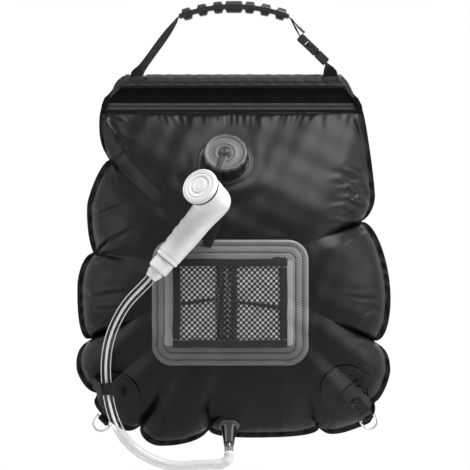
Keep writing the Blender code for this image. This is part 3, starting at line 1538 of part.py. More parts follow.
def build_ring_and_tab(side, tab, bar, out_deg, swing):
    """A wire ring on a short tab of webbing, whose end is sewn round the ring's bar."""
    frame = ring_frame(*bar, out_deg)
    half = RING_WIDTH / 2
    points = []
    for step in range(RING_ARC_STEPS + 1):
        angle = math.pi * step / RING_ARC_STEPS
        points.append(Vector((RING_DEPTH * math.sin(angle), 0, half * math.cos(angle))))
    ring = tube(f"{side}_ring", points, RING_WIRE, 1, cyclic=True)
    ring.matrix_world = frame
    keep(ring, STEEL)
    ring_axis = pivot(f"{side}_ring_axis", frame)
    carried_by(ring_axis, ring)
    out = frame.to_3x3().col[0]
    across = frame.to_3x3().col[2]
    stations = []
    steps = 3
    inset = EYE_INNER + TAB_THICK / 2
    last = frame.translation - out * inset
    for step in range(steps):
        share = step / steps
        x = tab[0] + (bar[0] - out.x * inset - tab[0]) * share
        z = -tab[1] + (tab[1] - bar[1] - out.z * inset) * share
        stations.append(strap_station(x, z, across, TAB_WIDTH, TAB_LIFT))
    stations.append((last, across))
    webbing = ribbon(f"{side}_ring_tab", stations, TAB_WIDTH, TAB_THICK)
    eye = ring_profile(EYE_INNER + TAB_THICK, EYE_INNER, -TAB_WIDTH / 2, TAB_WIDTH / 2)
    boolean(webbing, turned(f"{side}_tab_eye", eye, frame, ring=True, steps=16), "UNION")
    keep(webbing, WEBBING)
    carried_by(swing, ring_axis, webbing)


def hose_near(z):
    """The hose's middle and direction where it passes a height."""
    for first, second in zip(HOSE_ROUTE, HOSE_ROUTE[1:]):
        if first[2] <= z <= second[2]:
            place = Vector(first).lerp(Vector(second), (z - first[2]) / (second[2] - first[2]))
            return place, (Vector(second) - Vector(first)).normalized()
    return Vector(HOSE_ROUTE[0]), Z_AXIS


def build_hose_strap(swing):
    """A strap that starts at the seam, bows over the hose and ends on the left weld spot."""
    start = Vector((HOSE_STRAP_START_X, 0, -HOSE_STRAP_START_DROP))
    end = Vector((HOSE_STRAP_END_X, 0, -HOSE_STRAP_END_DROP))
    run = end - start
    hose, along = hose_near((start.z + end.z) / 2)
    side = along.cross(Y_AXIS).normalized()
    if side.x < 0:
        side = -side
    front = side.cross(along)
    if front.y > 0:
        front = -front
    bow = HOSE_DIAMETER / 2 + HOSE_STRAP_GAP + TAB_THICK / 2
    across = along if front.dot(side.cross(along)) > 0 else -along
    stations = [(on_skin(start.x, start.z, TAB_LIFT), across)]
    for step in range(7):
        angle = math.radians(HOSE_STRAP_ARCH_DEG) * (step / 3 - 1)
        stations.append((hose + side * bow * math.sin(angle) + front * bow * math.cos(angle), across))
    stations.append(strap_station(end.x, end.z, across, TAB_WIDTH, TAB_LIFT))
    strap = keep(ribbon("hose_strap", stations, TAB_WIDTH, TAB_THICK), WEBBING)
    carried_by(swing, strap)


def build_corners(swing):
    left = build_spot("left_weld_spot", LEFT_SPOT_X, LEFT_SPOT_DROP)
    right = build_spot("right_weld_spot", RIGHT_SPOT_X, RIGHT_SPOT_DROP)
    start = Vector((SIDE_STRAP_START_X, -SIDE_STRAP_START_DROP))
    run = Vector((SIDE_STRAP_END_X, -SIDE_STRAP_END_DROP)) - start
    middle = start + run / 2
    along = run.normalized()
    outline = []
    for gone, aside in rounded_box_outline(run.length, TAB_WIDTH, TAB_THICK, 4, 2):
        outline.append((middle.x + along.x * gone - along.y * aside, middle.y + along.y * gone + along.x * aside))
    side_strap = skin_sheet("side_strap", tuple(middle), outline, SPOT_TOP + SIDE_STRAP_GAP, TAB_THICK, 4)
    carried_by(swing, left, right, keep(side_strap, WEBBING))
    build_hose_strap(swing)
    left_tab = (LEFT_TAB_X, LEFT_TAB_DROP)
    right_tab = (RIGHT_TAB_X, RIGHT_TAB_DROP)
    build_ring_and_tab("left", left_tab, (LEFT_BAR_X, LEFT_BAR_DROP), LEFT_RING_DEG, swing)
    build_ring_and_tab("right", right_tab, (RIGHT_BAR_X, RIGHT_BAR_DROP), RIGHT_RING_DEG, swing)


def build_all():
    swing = pivot("bag_hinge", Matrix.Translation(ROD_CENTRE))
    build_grip()
    build_handle_webbing()
    build_webbing_tail()
    build_buckle_socket()
    build_buckle_plug()
    build_prong("buckle_prong_front", -1)
    build_prong("buckle_prong_back", 1)
    build_plug_webbing()
    build_hem(swing)
    carried_by(swing, build_bladder())
    build_filler(swing)
    build_outlet(swing)
    build_head(swing)
    build_hose(swing)
    build_holder_strap(swing)
    build_pocket(swing)
    build_corners(swing)


build_all()
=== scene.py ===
# %% [markdown]
# # A camp shower bag, hung by its grip and full of water
#
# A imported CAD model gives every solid, body and joint of the bag. This notebook dresses that model:
# it keeps each solid's place, and gives the bag its cloth, webbing, net, moulded parts and hose.
# The row frame is +Z up and +X to the viewer's right, and the front of the bag faces -Y.

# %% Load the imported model
import math

import bmesh
import bpy
import numpy as np
from mathutils import Matrix, Vector


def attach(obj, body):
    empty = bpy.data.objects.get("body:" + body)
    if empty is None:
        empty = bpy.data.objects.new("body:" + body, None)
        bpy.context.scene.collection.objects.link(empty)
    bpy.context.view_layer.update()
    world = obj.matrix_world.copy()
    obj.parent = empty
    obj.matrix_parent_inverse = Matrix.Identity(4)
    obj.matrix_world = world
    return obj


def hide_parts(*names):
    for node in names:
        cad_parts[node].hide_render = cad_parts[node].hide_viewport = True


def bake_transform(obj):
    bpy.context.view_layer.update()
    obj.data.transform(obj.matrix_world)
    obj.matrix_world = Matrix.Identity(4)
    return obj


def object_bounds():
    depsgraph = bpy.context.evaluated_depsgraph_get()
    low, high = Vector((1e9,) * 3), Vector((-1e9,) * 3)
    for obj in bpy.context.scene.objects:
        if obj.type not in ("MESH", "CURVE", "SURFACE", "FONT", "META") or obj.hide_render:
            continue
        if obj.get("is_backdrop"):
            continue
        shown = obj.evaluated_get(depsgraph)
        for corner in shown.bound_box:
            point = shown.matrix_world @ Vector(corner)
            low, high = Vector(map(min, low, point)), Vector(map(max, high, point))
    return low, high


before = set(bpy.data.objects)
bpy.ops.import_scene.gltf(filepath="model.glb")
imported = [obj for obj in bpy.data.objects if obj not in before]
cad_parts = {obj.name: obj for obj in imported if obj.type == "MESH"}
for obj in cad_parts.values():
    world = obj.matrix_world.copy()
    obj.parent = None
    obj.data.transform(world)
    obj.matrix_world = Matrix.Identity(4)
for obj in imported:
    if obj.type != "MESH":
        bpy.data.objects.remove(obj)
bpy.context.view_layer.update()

X_AXIS = Vector((1, 0, 0))
Y_AXIS = Vector((0, 1, 0))
Z_AXIS = Vector((0, 0, 1))

# %% [markdown]
# ## Camera
#
# The bag is seen straight from the front. A long lens from far away keeps the front pieces, which
# stand 150 mm nearer than the seam, from growing, and the picture is square.

# %% Camera
VIEW_WIDTH = 0.5875
VIEW_X = 0.00125
VIEW_Z = -0.2775
CAMERA_AWAY = 8.0
CAMERA_SEES_TO = 100.0
SENSOR_MM = 36.0

camera = bpy.data.objects.new("camera", bpy.data.cameras.new("camera"))
bpy.context.scene.collection.objects.link(camera)
camera.data.sensor_width = SENSOR_MM
camera.data.lens = SENSOR_MM * CAMERA_AWAY / VIEW_WIDTH
camera.data.clip_end = CAMERA_SEES_TO
camera.location = (VIEW_X, -CAMERA_AWAY, VIEW_Z)
camera.rotation_euler = (math.pi / 2, 0, 0)
bpy.context.scene.camera = camera
bpy.context.scene.view_settings.view_transform = "Standard"
print("lens, mm:", round(camera.data.lens))

# %% [markdown]
# ## Shader maths
#
# A finish is worked out from a few numbers that change over the surface: where a thread lies, where
# dust has settled. Written as sums and products they stay readable, so one small class wraps a
# node's socket and turns each sum into its Math node.


# %% Fields and paints
class Field:
    """A node's socket. Arithmetic on fields adds the nodes that work it out."""

    def __init__(self, paint, socket):
        self.paint = paint
        self.socket = socket

    def math(self, operation, *others):
        return self.paint.node("ShaderNodeMath", {"operation": operation}, dict(enumerate((self, *others))))

    def __add__(self, other):
        return self.math("ADD", other)

    def __sub__(self, other):
        return self.math("SUBTRACT", other)

    def __rsub__(self, other):
        return self.paint.node("ShaderNodeMath", {"operation": "SUBTRACT"}, {0: other, 1: self})

    def __mul__(self, other):
        return self.math("MULTIPLY", other)

    def __truediv__(self, other):
        return self.math("DIVIDE", other)

    __radd__ = __add__
    __rmul__ = __mul__

    def sine(self):
        return self.math("SINE")

    def size(self):
        return self.math("ABSOLUTE")

    def between(self, low, high):
        """0 below low, 1 above high, and a smooth step between them."""
        settings = {"interpolation_type": "SMOOTHSTEP"}
        return self.paint.node("ShaderNodeMapRange", settings, {0: self, 1: low, 2: high})


class Paint:
    """One material and its nodes."""

    def __init__(self, name):
        self.material = bpy.data.materials.new(name)
        self.material.use_nodes = True
        self.tree = self.material.node_tree
        self.shader = self.tree.nodes["Principled BSDF"]

    def node(self, kind, settings=None, values=None, out=0):
        """Any node: its settings are set first, then the values or links of its sockets."""
        made = self.tree.nodes.new(kind)
        for key, value in (settings or {}).items():
            setattr(made, key, value)
        for key, value in (values or {}).items():
            self.feed(made.inputs[key], value)
        return Field(self, made.outputs[out])

    def feed(self, socket, value):
        if isinstance(value, Field):
            self.tree.links.new(value.socket, socket)
        elif socket.type == "RGBA" and len(value) == 3:
            socket.default_value = (*value, 1.0)
        else:
            socket.default_value = value

    def split(self, vector, count):
        return [self.node("ShaderNodeSeparateXYZ", None, {0: vector}, out) for out in range(count)]

    def cloth(self):
        """Where a point lies on the flat cloth, in metres across and along."""
        return self.split(self.node("ShaderNodeUVMap", {"uv_map": "cloth"}), 2)

    def place(self):
        """Where a point lies in the row frame, in metres."""
        return self.node("ShaderNodeTexCoord", out=3)

    def axes(self):
        return self.split(self.place(), 3)

    def cloud(self, grain, detail=3.0, rough=0.55):
        """Noise from 0 to 1, whose lumps are about grain metres across."""
        values = {"Vector": self.place(), "Scale": 1 / grain, "Detail": detail, "Roughness": rough}
        return self.node("ShaderNodeTexNoise", None, values)

    def mix(self, mask, first, second):
        values = {0: mask, 6: first, 7: second}
        return self.node("ShaderNodeMix", {"data_type": "RGBA"}, values, 2)

    def finish(self, height=None, deep=0.0, strength=1.0, **sockets):
        """Feeds the shader: a height in shares of deep metres, and its other sockets by name."""
        if height is not None:
            values = {"Height": height, "Distance": deep, "Strength": strength}
            sockets["Normal"] = self.node("ShaderNodeBump", None, values)
        for name, value in sockets.items():
            self.feed(self.shader.inputs[name.replace("_", " ")], value)
        return self.material

# %% [markdown]
# ## Cloth finishes
#
# The bag is polyester coated with vinyl: nearly black, a little glossy, with the fine diamonds of its
# weave pressed into the coat. Webbing is a matt ribbed tape. Both are made from threads that cross:
# the product of two slanted waves gives diamonds, and ribs with slanted threads on them give a tape.

# %% Finishes of cloth
# How far below the grip the painted shade on the pocket's patch begins, and where it is full
FOOT_SHADE_DROP = (0.385, 0.420)


def diamonds(u, v, wide, high):
    """1 in the middle of each diamond of a weave, 0 on the lines between them."""
    first = ((u / wide + v / high) * math.pi).sine().size()
    second = ((u / wide - v / high) * math.pi).sine().size()
    return first * second


def coated_cloth(name, dark, pale, weave, rough=0.5, shine=0.35, contrast=0.5, foot_shade=0.0):
    """A coated weave, dark between its threads and pale on them. The last argument paints shade on the
    pocket's patch, darker towards its foot.
    """
    paint = Paint(name)
    u, v = paint.cloth()
    weft = diamonds(u, v, *weave)
    blotch = paint.cloud(0.05)
    dust = paint.cloud(0.0012, 2.0, 0.7).between(0.62, 0.75)
    # Painted shade: the patch's tone darkens towards its foot
    unshaded = 1 - foot_shade * (-1 * paint.axes()[2]).between(*FOOT_SHADE_DROP)
    tone = paint.mix((weft * contrast + (1 - contrast) * blotch) * unshaded, dark, pale)
    lint = paint.mix(dust * 0.12, tone, [min(1.0, 3 * part + 0.02) for part in pale])
    gloss = rough + 0.10 * blotch - 0.06 * weft
    return paint.finish(
        weft + 0.25 * paint.cloud(0.004),
        0.00025,
        0.6,
        Base_Color=lint,
        Roughness=gloss,
        Specular_IOR_Level=shine,
    )


def woven_tape(name, dark, pale, rib=0.0013, rough=0.72, shine=0.2):
    """Webbing: ribs across it, and fine slanted threads on each rib."""
    paint = Paint(name)
    u, v = paint.cloth()
    ribs = ((v / rib) * math.pi).sine().size()
    slant = ((u / (rib * 0.9) + v / (rib * 1.8)) * math.pi).sine().size()
    threads = ribs * 0.6 + slant * 0.4
    worn = paint.cloud(0.006, 4.0).between(0.5, 0.8)
    tone = paint.mix(threads, dark, pale)
    fluff = paint.mix(worn * 0.25, tone, [2 * part + 0.01 for part in pale])
    return paint.finish(
        threads,
        0.0003,
        0.8,
        Base_Color=fluff,
        Roughness=rough + 0.12 * worn,
        Specular_IOR_Level=shine,
        Sheen_Weight=0.04,
        Sheen_Roughness=0.5,
    )


BAG_CLOTH = coated_cloth(
    "bag_cloth", (0.0006, 0.0006, 0.0007), (0.0062, 0.0064, 0.0069), (0.0027, 0.0021), 0.27, 0.16
)
HEM_CLOTH = coated_cloth(
    "hem_cloth", (0.010, 0.010, 0.011), (0.026, 0.026, 0.028), (0.0016, 0.0013), 0.44, 0.26
)
# A near-black copy of the coated cloth: painted shade for the recess under the sleeve
SHADED_BAND_CLOTH = coated_cloth(
    "band_painted_shade", (0.001, 0.001, 0.001), (0.0035, 0.0035, 0.0038), (0.0016, 0.0013), 0.6, 0.06
)
SPOT_CLOTH = coated_cloth(
    "spot_cloth", (0.001, 0.001, 0.0012), (0.005, 0.005, 0.0055), (0.0020, 0.0016), 0.26, 0.20
)
# The patch is given painted shade towards its foot
PATCH_CLOTH = coated_cloth(
    "patch_cloth", (0.045, 0.045, 0.047), (0.33, 0.33, 0.338), (0.0034, 0.0034), 0.42, 0.4, 0.8, foot_shade=0.55
)
PANEL_CLOTH = coated_cloth(
    "panel_cloth", (0.84, 0.84, 0.85), (0.94, 0.94, 0.95), (0.0020, 0.0020), 0.4, 0.5, contrast=0.3
)
WEBBING = woven_tape("webbing", (0.0015, 0.0015, 0.0017), (0.008, 0.008, 0.0088))
BINDING = woven_tape("binding", (0.005, 0.005, 0.0055), (0.022, 0.022, 0.023), 0.0010)
NET_YARN = woven_tape("net_yarn", (0.006, 0.006, 0.007), (0.022, 0.022, 0.024), 0.0006)
print("cloth finishes:", len(bpy.data.materials))

# %% [markdown]
# ## Moulded finishes
#
# Moulded plastic is never quite even: its gloss wanders and fine scuffs cross it. Clear vinyl lets
# light through where it is looked at squarely and gathers it along its edges, which draws the bright
# lines along a hose.

# %% Finishes of plastic, rubber, metal and vinyl
# How far below the grip the vinyl begins to turn milky, and where it is so in full
MILK_DROP = (0.514, 0.524)


def moulded(name, colour, rough, grain=0.0006, deep=0.00003, shine=0.5, **constants):
    """Moulded plastic or rubber: a fine grain, wandering gloss, and scuffs a little paler."""
    paint = Paint(name)
    fine = paint.cloud(grain, 2.0)
    wander = paint.cloud(0.02)
    x, y, z = paint.axes()
    streak = ((x * 700 + z * 430 + 9 * wander).sine() * (y * 900 - x * 350).sine()).between(0.82, 0.97)
    tone = paint.mix(wander, [0.82 * part for part in colour], [min(1.0, 1.1 * part) for part in colour])
    scuffed = paint.mix(streak * 0.18, tone, [min(1.0, 1.7 * part + 0.015) for part in colour])
    return paint.finish(
        fine + 0.5 * streak,
        deep,
        0.5,
        Base_Color=scuffed,
        Roughness=rough + 0.14 * wander + 0.10 * streak,
        Specular_IOR_Level=shine,
        **constants,
    )


def clear_vinyl(name, colour, clear, rough=0.06, milk=0.0):
    """Clear vinyl, white where there is more of it to see through, milky low down, where water stands."""
    paint = Paint(name)
    haze = paint.cloud(0.012)
    milky = paint.mix(haze, [0.92 * part for part in colour], colour)
    facing = paint.node("ShaderNodeLayerWeight", None, {0: 0.5}, 1)
    standing = milk * (-1 * paint.axes()[2]).between(*MILK_DROP)
    thin = (1 - clear) + clear * facing.between(0.36, 0.60)
    return paint.finish(
        Base_Color=paint.mix(standing, milky, [0.70 * part for part in colour]),
        Roughness=rough + 0.03 * haze,
        Alpha=thin + standing - thin * standing,
        IOR=1.7,
    )


GRIP_RUBBER = moulded("grip_rubber", (0.0030, 0.0030, 0.0034), 0.24, 0.0008, 0.00010, 0.4)
SEAL_RUBBER = moulded("seal_rubber", (0.020, 0.020, 0.022), 0.6, 0.0010, 0.00006, 0.3)
BLACK_PLASTIC = moulded("black_plastic", (0.005, 0.005, 0.0055), 0.30, 0.0007, 0.00006, 0.4)
SPOUT_GLOSS = moulded("spout_gloss", (0.010, 0.010, 0.011), 0.10, 0.0020, 0.00002, 0.6)
CAP_PLASTIC = moulded("cap_plastic", (0.050, 0.050, 0.053), 0.34, 0.0006, 0.00006, 0.5)
# A darker copy of the cap's plastic: painted shade on the cap's side
CAP_SHADED_SKIRT = moulded("cap_skirt_painted_shade", (0.007, 0.007, 0.008), 0.34, 0.0006, 0.00006, 0.5)
WHITE_PLASTIC = moulded("white_plastic", (0.86, 0.86, 0.875), 0.30, 0.0012, 0.00001, 0.5)
FACE_PLASTIC = moulded("face_plastic", (0.74, 0.74, 0.75), 0.24, 0.0012, 0.00001, 0.5)
RING_STEEL = moulded("ring_steel", (0.56, 0.56, 0.57), 0.24, 0.0006, 0.00003, 0.5, Metallic=1.0)
CLEAR_VINYL = clear_vinyl("clear_vinyl", (0.78, 0.785, 0.79), 0.985, milk=0.55)
# A white core inside the clear hose paints the highlight down its middle
HIGHLIGHT_CORE = moulded("hose_painted_highlight", (0.84, 0.845, 0.85), 0.16, 0.004, 0.00002, 0.6)
GREY_VINYL = clear_vinyl("grey_vinyl", (0.16, 0.165, 0.17), 0.45, 0.12)
print("finishes:", len(bpy.data.materials))

# %% [markdown]
# ## From rows of points to a skin
#
# Nearly every piece here is a run of like sections: a tube's circles, a strap's flat ovals, the
# growing rings of a lid. So one helper joins rows of points into a mesh, closes it where asked, and
# writes the distances along the rows as a flat map, which the weaves above are drawn on.

# %% Rows of points to a mesh
# Points that are nearer to each other than this are one point
WELD = 0.000002


def flat_map(points):
    """Distances across and along a grid of points, in metres."""
    across = np.zeros(points.shape[:2])
    along = np.zeros(points.shape[:2])
    across[:, 1:] = np.cumsum(np.linalg.norm(np.diff(points, axis=1), axis=2), axis=1)
    along[1:, :] = np.cumsum(np.linalg.norm(np.diff(points, axis=0), axis=2), axis=0)
    return np.stack([across, np.repeat(along.mean(axis=1)[:, None], points.shape[1], 1)], axis=2)


def drawn_flat(mesh, flat):
    """Writes each point's place on the flat cloth into the mesh."""
    layer = mesh.uv_layers.new(name="cloth")
    corners = np.zeros(len(mesh.loops), np.int32)
    mesh.loops.foreach_get("vertex_index", corners)
    layer.uv.foreach_set("vector", flat[corners].astype(np.float32).ravel())


def lofted(name, rows, loop=False, ends=True, flat=None):
    """A mesh through closed rows of points. loop joins the last row to the first."""
    points = np.array([[tuple(point) for point in row] for row in rows], float)
    count, wide = points.shape[:2]
    if flat is None:
        flat = flat_map(points)
    faces = []
    for row in range(count if loop else count - 1):
        here = row * wide
        after = (row + 1) % count * wide
        for side in range(wide):
            beside = (side + 1) % wide
            faces.append((here + side, here + beside, after + beside, after + side))
    if ends and not loop:
        for low in (0, (count - 1) * wide):
            for side in range(wide // 2 - 1):
                over = wide - 1 - side
                faces.append((low + side, low + side + 1, low + over - 1, low + over))
    mesh = bpy.data.meshes.new(name)
    mesh.from_pydata(points.reshape(-1, 3).tolist(), [], faces)
    drawn_flat(mesh, np.asarray(flat, float).reshape(-1, 2))
    return mesh


def tidied(mesh, weld=WELD):
    """Points that meet become one, and every face looks outwards."""
    built = bmesh.new()
    built.from_mesh(mesh)
    bmesh.ops.remove_doubles(built, verts=built.verts, dist=weld)
    bmesh.ops.dissolve_degenerate(built, edges=built.edges, dist=weld)
    bmesh.ops.recalc_face_normals(built, faces=built.faces)
    built.to_mesh(mesh)
    built.free()
    return mesh


def piece(mesh, finish, slot, body, *nodes, angle=40):
    """An object in the row frame that rides on a body and stands for CAD nodes."""
    made = bpy.data.objects.new(mesh.name, mesh)
    bpy.context.scene.collection.objects.link(made)
    mesh.shade_smooth()
    mesh.set_sharp_from_angle(angle=math.radians(angle))
    mesh.materials.append(finish)
    if body:
        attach(made, body)
    if nodes:
        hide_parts(*nodes)
    return made


def joined(name, meshes):
    """Several meshes as one."""
    built = bmesh.new()
    for mesh in meshes:
        built.from_mesh(mesh)
    whole = bpy.data.meshes.new(name)
    built.to_mesh(whole)
    built.free()
    for mesh in meshes:
        bpy.data.meshes.remove(mesh)
    whole.name = name
    return whole


def placed(mesh, place):
    mesh.transform(place)
    return mesh

# %% [markdown]
# ## Turned pieces and tubes
#
# A lathe gives caps, nuts and rings. The corners of a real moulding are rounded, so each corner of
# the profile is first cut back and given a short arc. A tube is a circle carried along a path.


# %% Turned pieces and tubes
def turns(count, offset=0.0):
    """Even angles round a full turn."""
    return [math.tau * (step + offset) / count for step in range(count)]


def eased(profile, radius, closed=False, steps=3):
    """The profile with each of its corners rounded."""
    points = [Vector((*point, 0)) for point in profile]
    made = []
    for index, corner in enumerate(points):
        if not closed and index in (0, len(points) - 1):
            made.append(corner)
            continue
        before = points[index - 1] - corner
        after = points[(index + 1) % len(points)] - corner
        back = min(radius, 0.45 * before.length, 0.45 * after.length)
        start = corner + before.normalized() * back
        end = corner + after.normalized() * back
        for step in range(steps + 1):
            share = step / steps
            made.append(start.lerp(corner, share).lerp(corner.lerp(end, share), share))
    return [(point.x, point.y) for point in made]


def turned(name, profile, place, steps=72, soften=0.0005, closed=False, swell=None):
    """A turned mesh. swell(angle, radius, height) may change the radius round the piece."""
    rounded = eased(profile, soften, closed) if soften else list(profile)
    rows = []
    for radius, height in rounded:
        row = []
        for angle in turns(steps):
            reach = radius * swell(angle, radius, height) if swell else radius
            row.append((reach * math.cos(angle), reach * math.sin(angle), height))
        rows.append(row)
    return placed(tidied(lofted(name, rows, loop=closed, ends=False)), place)


def frame_at(point, axis, across=X_AXIS):
    """A matrix whose +Z runs along the axis and whose +X is as near to across as it can be."""
    up = axis.normalized()
    side = (across - up * across.dot(up)).normalized()
    return Matrix.Translation(point) @ Matrix((side, up.cross(side), up)).transposed().to_4x4()


def distances(points):
    """How far along a line each of its points lies."""
    steps = np.diff(np.array([tuple(point) for point in points]), axis=0)
    return np.concatenate([[0], np.cumsum(np.linalg.norm(steps, axis=1))])


def read_off(points, gone, wanted):
    """The line's places, or what else its points say, at wanted distances along it."""
    table = np.array([tuple(point) for point in points])
    return np.stack([np.interp(wanted, gone, column) for column in table.T], axis=1)


def spaced(points, count, closed=False):
    """Points at an even pitch along a smooth curve through a few points."""
    knots = [Vector(point) for point in points]
    last = len(knots) if closed else len(knots) - 1
    fine = []
    for index in range(last):
        picked = []
        for offset in (-1, 0, 1, 2):
            at = index + offset
            picked.append(knots[at % len(knots)] if closed else knots[min(max(at, 0), len(knots) - 1)])
        before, first, second, after = picked
        for step in range(16):
            t = step / 16
            curve = 2 * first + (second - before) * t
            curve += (2 * before - 5 * first + 4 * second - after) * t * t
            curve += (3 * first - before - 3 * second + after) * t * t * t
            fine.append(curve / 2)
    fine.append(knots[0] if closed else knots[-1])
    gone = distances(fine)
    found = read_off(fine, gone, np.linspace(0, gone[-1], count + 1 if closed else count))
    return [Vector(point) for point in (found[:-1] if closed else found)]


def tube_rows(points, radius, sides=24, closed=False):
    """Circles along a path, turned as little as possible from one to the next."""
    rows = []
    side = None
    count = len(points)
    for index, middle in enumerate(points):
        before = points[index - 1] if closed or index else middle
        after = points[(index + 1) % count] if closed or index < count - 1 else middle
        along = (after - before).normalized()
        if side is None:
            side = along.orthogonal().normalized()
        side = (side - along * side.dot(along)).normalized()
        other = along.cross(side)
        rows.append([middle + (side * math.cos(a) + other * math.sin(a)) * radius for a in turns(sides)])
    return rows


def wire(name, points, radius, sides=16, closed=False):
    return tidied(lofted(name, tube_rows(points, radius, sides, closed), loop=closed))

# %% [markdown]
# ## Outlet, elbow and hose
#
# Water leaves through a glossy black cone under the bag. A soft grey adapter is pushed into it, then a
# short bent start of the hose. A full clear hose gathers light along its edges and shows a highlight down
# its middle, so it is built as a clear skin round a white core, which paints that highlight. It hangs in
# one loop from the outlet up to the hand shower, and its curve passes through the same points as the CAD
# solid's.

# %% Places of the outlet and the shower head
# Pieces that seat on each other stand this far apart
SEAT_GAP = 0.0003
OUTLET_TILT = math.radians(-58)
OUTLET_X = -0.00625
OUTLET_DROP = 0.5137
SPOUT_FLANGE = 0.0135
SPOUT_LENGTH = 0.028
SEAL_THICK = 0.0012
ADAPTER_LENGTH = 0.011
RING_LENGTH = 0.0024
# Places along the outlet's axis
SEAL_LOW = SPOUT_LENGTH + SEAT_GAP
ADAPTER_LOW = SEAL_LOW + SEAL_THICK + SEAT_GAP
RING_LOW = ADAPTER_LOW + ADAPTER_LENGTH + SEAT_GAP
ELBOW_START = RING_LOW + RING_LENGTH + SEAT_GAP
HEAD_PLACE = Vector((-0.0237, -0.1015, -0.2360))
HANDLE_SLOPE = math.radians(50.1)
HEAD_TURN = math.radians(29.4)
HEAD_LIFT = math.radians(26.1)
HANDLE_END = 0.0945
COLLAR_LENGTH = 0.0165
NUT_LENGTH = 0.0115
HOSE_END = HANDLE_END + SEAT_GAP + COLLAR_LENGTH + SEAT_GAP + NUT_LENGTH + SEAT_GAP
HANDLE_FRAME = frame_at(HEAD_PLACE, Vector((-math.cos(HANDLE_SLOPE), 0, -math.sin(HANDLE_SLOPE))), Y_AXIS)
head_level = Vector((-math.sin(HEAD_TURN), -math.cos(HEAD_TURN), 0))
HEAD_FRAME = frame_at(HEAD_PLACE, head_level * math.cos(HEAD_LIFT) + Z_AXIS * math.sin(HEAD_LIFT), X_AXIS)
print("hose's end along the handle, mm:", round(1000 * HOSE_END, 1))

# %% [markdown]
# ## The bag's shape
#
# Two flat sheets are welded round their edge and filled with water, so the bag swells, its edge is
# drawn in at twelve places, and lobes stand out between them. The shape is written as a depth at each
# place: a swollen dome over an outline of lobes, thin at the top and full below the middle, with a
# pucker at each place where the seam is drawn in. The filler and the outlet sit on flat places.

# %% The bag as a depth over its outline
HALF_WIDTH = 0.196
HALF_HEIGHT = 0.216
CENTRE_Z = -0.325
HALF_DEPTH = 0.080
MARGIN = 0.0055
MARGIN_THICK = 0.0016
PUCKER_WIDTH = 0.019
# Where the seam is drawn in: across, up, how far the next lobe swells, where its crown is, and how
# full it is before and after its crown
NOTCHES = np.array(
    [
        (0.816, 0.948, 0.000, 0.50, 2.6, 2.6),
        (-0.842, 0.948, 0.068, 0.65, 1.4, 2.6),
        (-0.784, 0.653, 0.110, 0.50, 1.6, 1.3),
        (-0.893, 0.116, 0.116, 0.40, 1.8, 2.6),
        (-0.899, -0.376, 0.136, 0.40, 2.4, 1.5),
        (-0.855, -0.688, 0.098, 0.65, 3.0, 2.0),
        (-0.593, -0.873, 0.134, 0.35, 1.6, 1.8),
        (-0.159, -0.896, 0.073, 0.60, 2.6, 2.6),
        (0.536, -0.879, 0.104, 0.70, 3.0, 1.3),
        (0.893, -0.746, 0.134, 0.65, 1.3, 3.0),
        (0.874, -0.387, 0.184, 0.45, 2.0, 1.8),
        (0.804, 0.295, 0.116, 0.22, 2.0, 1.3),
    ]
)
NOTCH_X = NOTCHES[:, 0] * HALF_WIDTH
NOTCH_UP = NOTCHES[:, 1] * HALF_HEIGHT
NOTCH_ANGLES = np.arctan2(NOTCH_UP, NOTCH_X) % math.tau
NOTCH_TURNS = (NOTCH_ANGLES - NOTCH_ANGLES[0]) % math.tau
BAG_TOP_Z = CENTRE_Z + NOTCH_UP[0]
# The flat places: across, up, tilt and radius
FILLER_PLACE = (-0.0106, -0.186, math.radians(33), 0.035)
OUTLET_PLACE = (OUTLET_X, -OUTLET_DROP, OUTLET_TILT, SPOUT_FLANGE)


def lobes(angle):
    """Each direction's lobe, how far along it lies, and the lobe's span."""
    turn = (angle - NOTCH_ANGLES[0]) % math.tau
    lobe = np.searchsorted(NOTCH_TURNS, turn, side="right") - 1
    span = (np.roll(NOTCH_TURNS, -1) - NOTCH_TURNS) % math.tau
    return lobe, (turn - NOTCH_TURNS[lobe]) / span[lobe], span[lobe]


def edge_reach(angle):
    """From the bag's middle to its edge in each direction."""
    lobe, along, _ = lobes(angle)
    after = (lobe + 1) % len(NOTCHES)
    run_x = NOTCH_X[after] - NOTCH_X[lobe]
    run_up = NOTCH_UP[after] - NOTCH_UP[lobe]
    past = np.cos(angle) * run_up - np.sin(angle) * run_x
    chord = (NOTCH_X[lobe] * run_up - NOTCH_UP[lobe] * run_x) / past
    crown = NOTCHES[lobe, 3]
    rise = np.clip(np.where(along < crown, along / crown, (1 - along) / (1 - crown)), 0, 1)
    full = np.where(along < crown, NOTCHES[lobe, 4], NOTCHES[lobe, 5])
    swell = (1 - (1 - rise) ** full) ** (1 / full)
    return chord * (1 + NOTCHES[lobe, 2] * swell)


def eased_step(value):
    held = np.clip(value, 0, 1)
    return held * held * (3 - 2 * held)


def back_depth(x, z):
    """Half the full bag's thickness at each place."""
    up = z - CENTRE_Z
    angle = np.arctan2(up, x) % math.tau
    reach = edge_reach(angle)
    away = np.hypot(x, up)
    oval = (np.abs(np.cos(angle)) / HALF_WIDTH) ** 3 + (np.abs(np.sin(angle)) / HALF_HEIGHT) ** 3
    calm = 0.95 * oval ** (-1 / 3)
    calm = calm + (reach - calm) * eased_step((away / reach - 0.45) / 0.55)
    inner = np.minimum(away / (calm - MARGIN), 1)
    full = 3 + 2 * np.maximum(np.sin(angle), 0) ** 2
    swell = np.maximum(1 - inner**full, 0) ** 0.55
    sunk = (BAG_TOP_Z - z) / (BAG_TOP_Z - CENTRE_Z + HALF_HEIGHT)
    deep = 0.22 + 0.78 * np.sin(np.minimum(sunk / 0.5, 1) * math.pi / 2)
    lobe, along, span = lobes(angle)
    near = np.minimum(along, 1 - along) * span * reach / PUCKER_WIDTH
    nearest = np.where(along < 0.5, lobe, (lobe + 1) % len(NOTCHES))
    pucker = np.where(nearest < 2, 0.10, 0.34) * np.exp(-near * near) * inner**4
    return MARGIN_THICK / 2 + HALF_DEPTH * deep * swell * (1 - pucker)


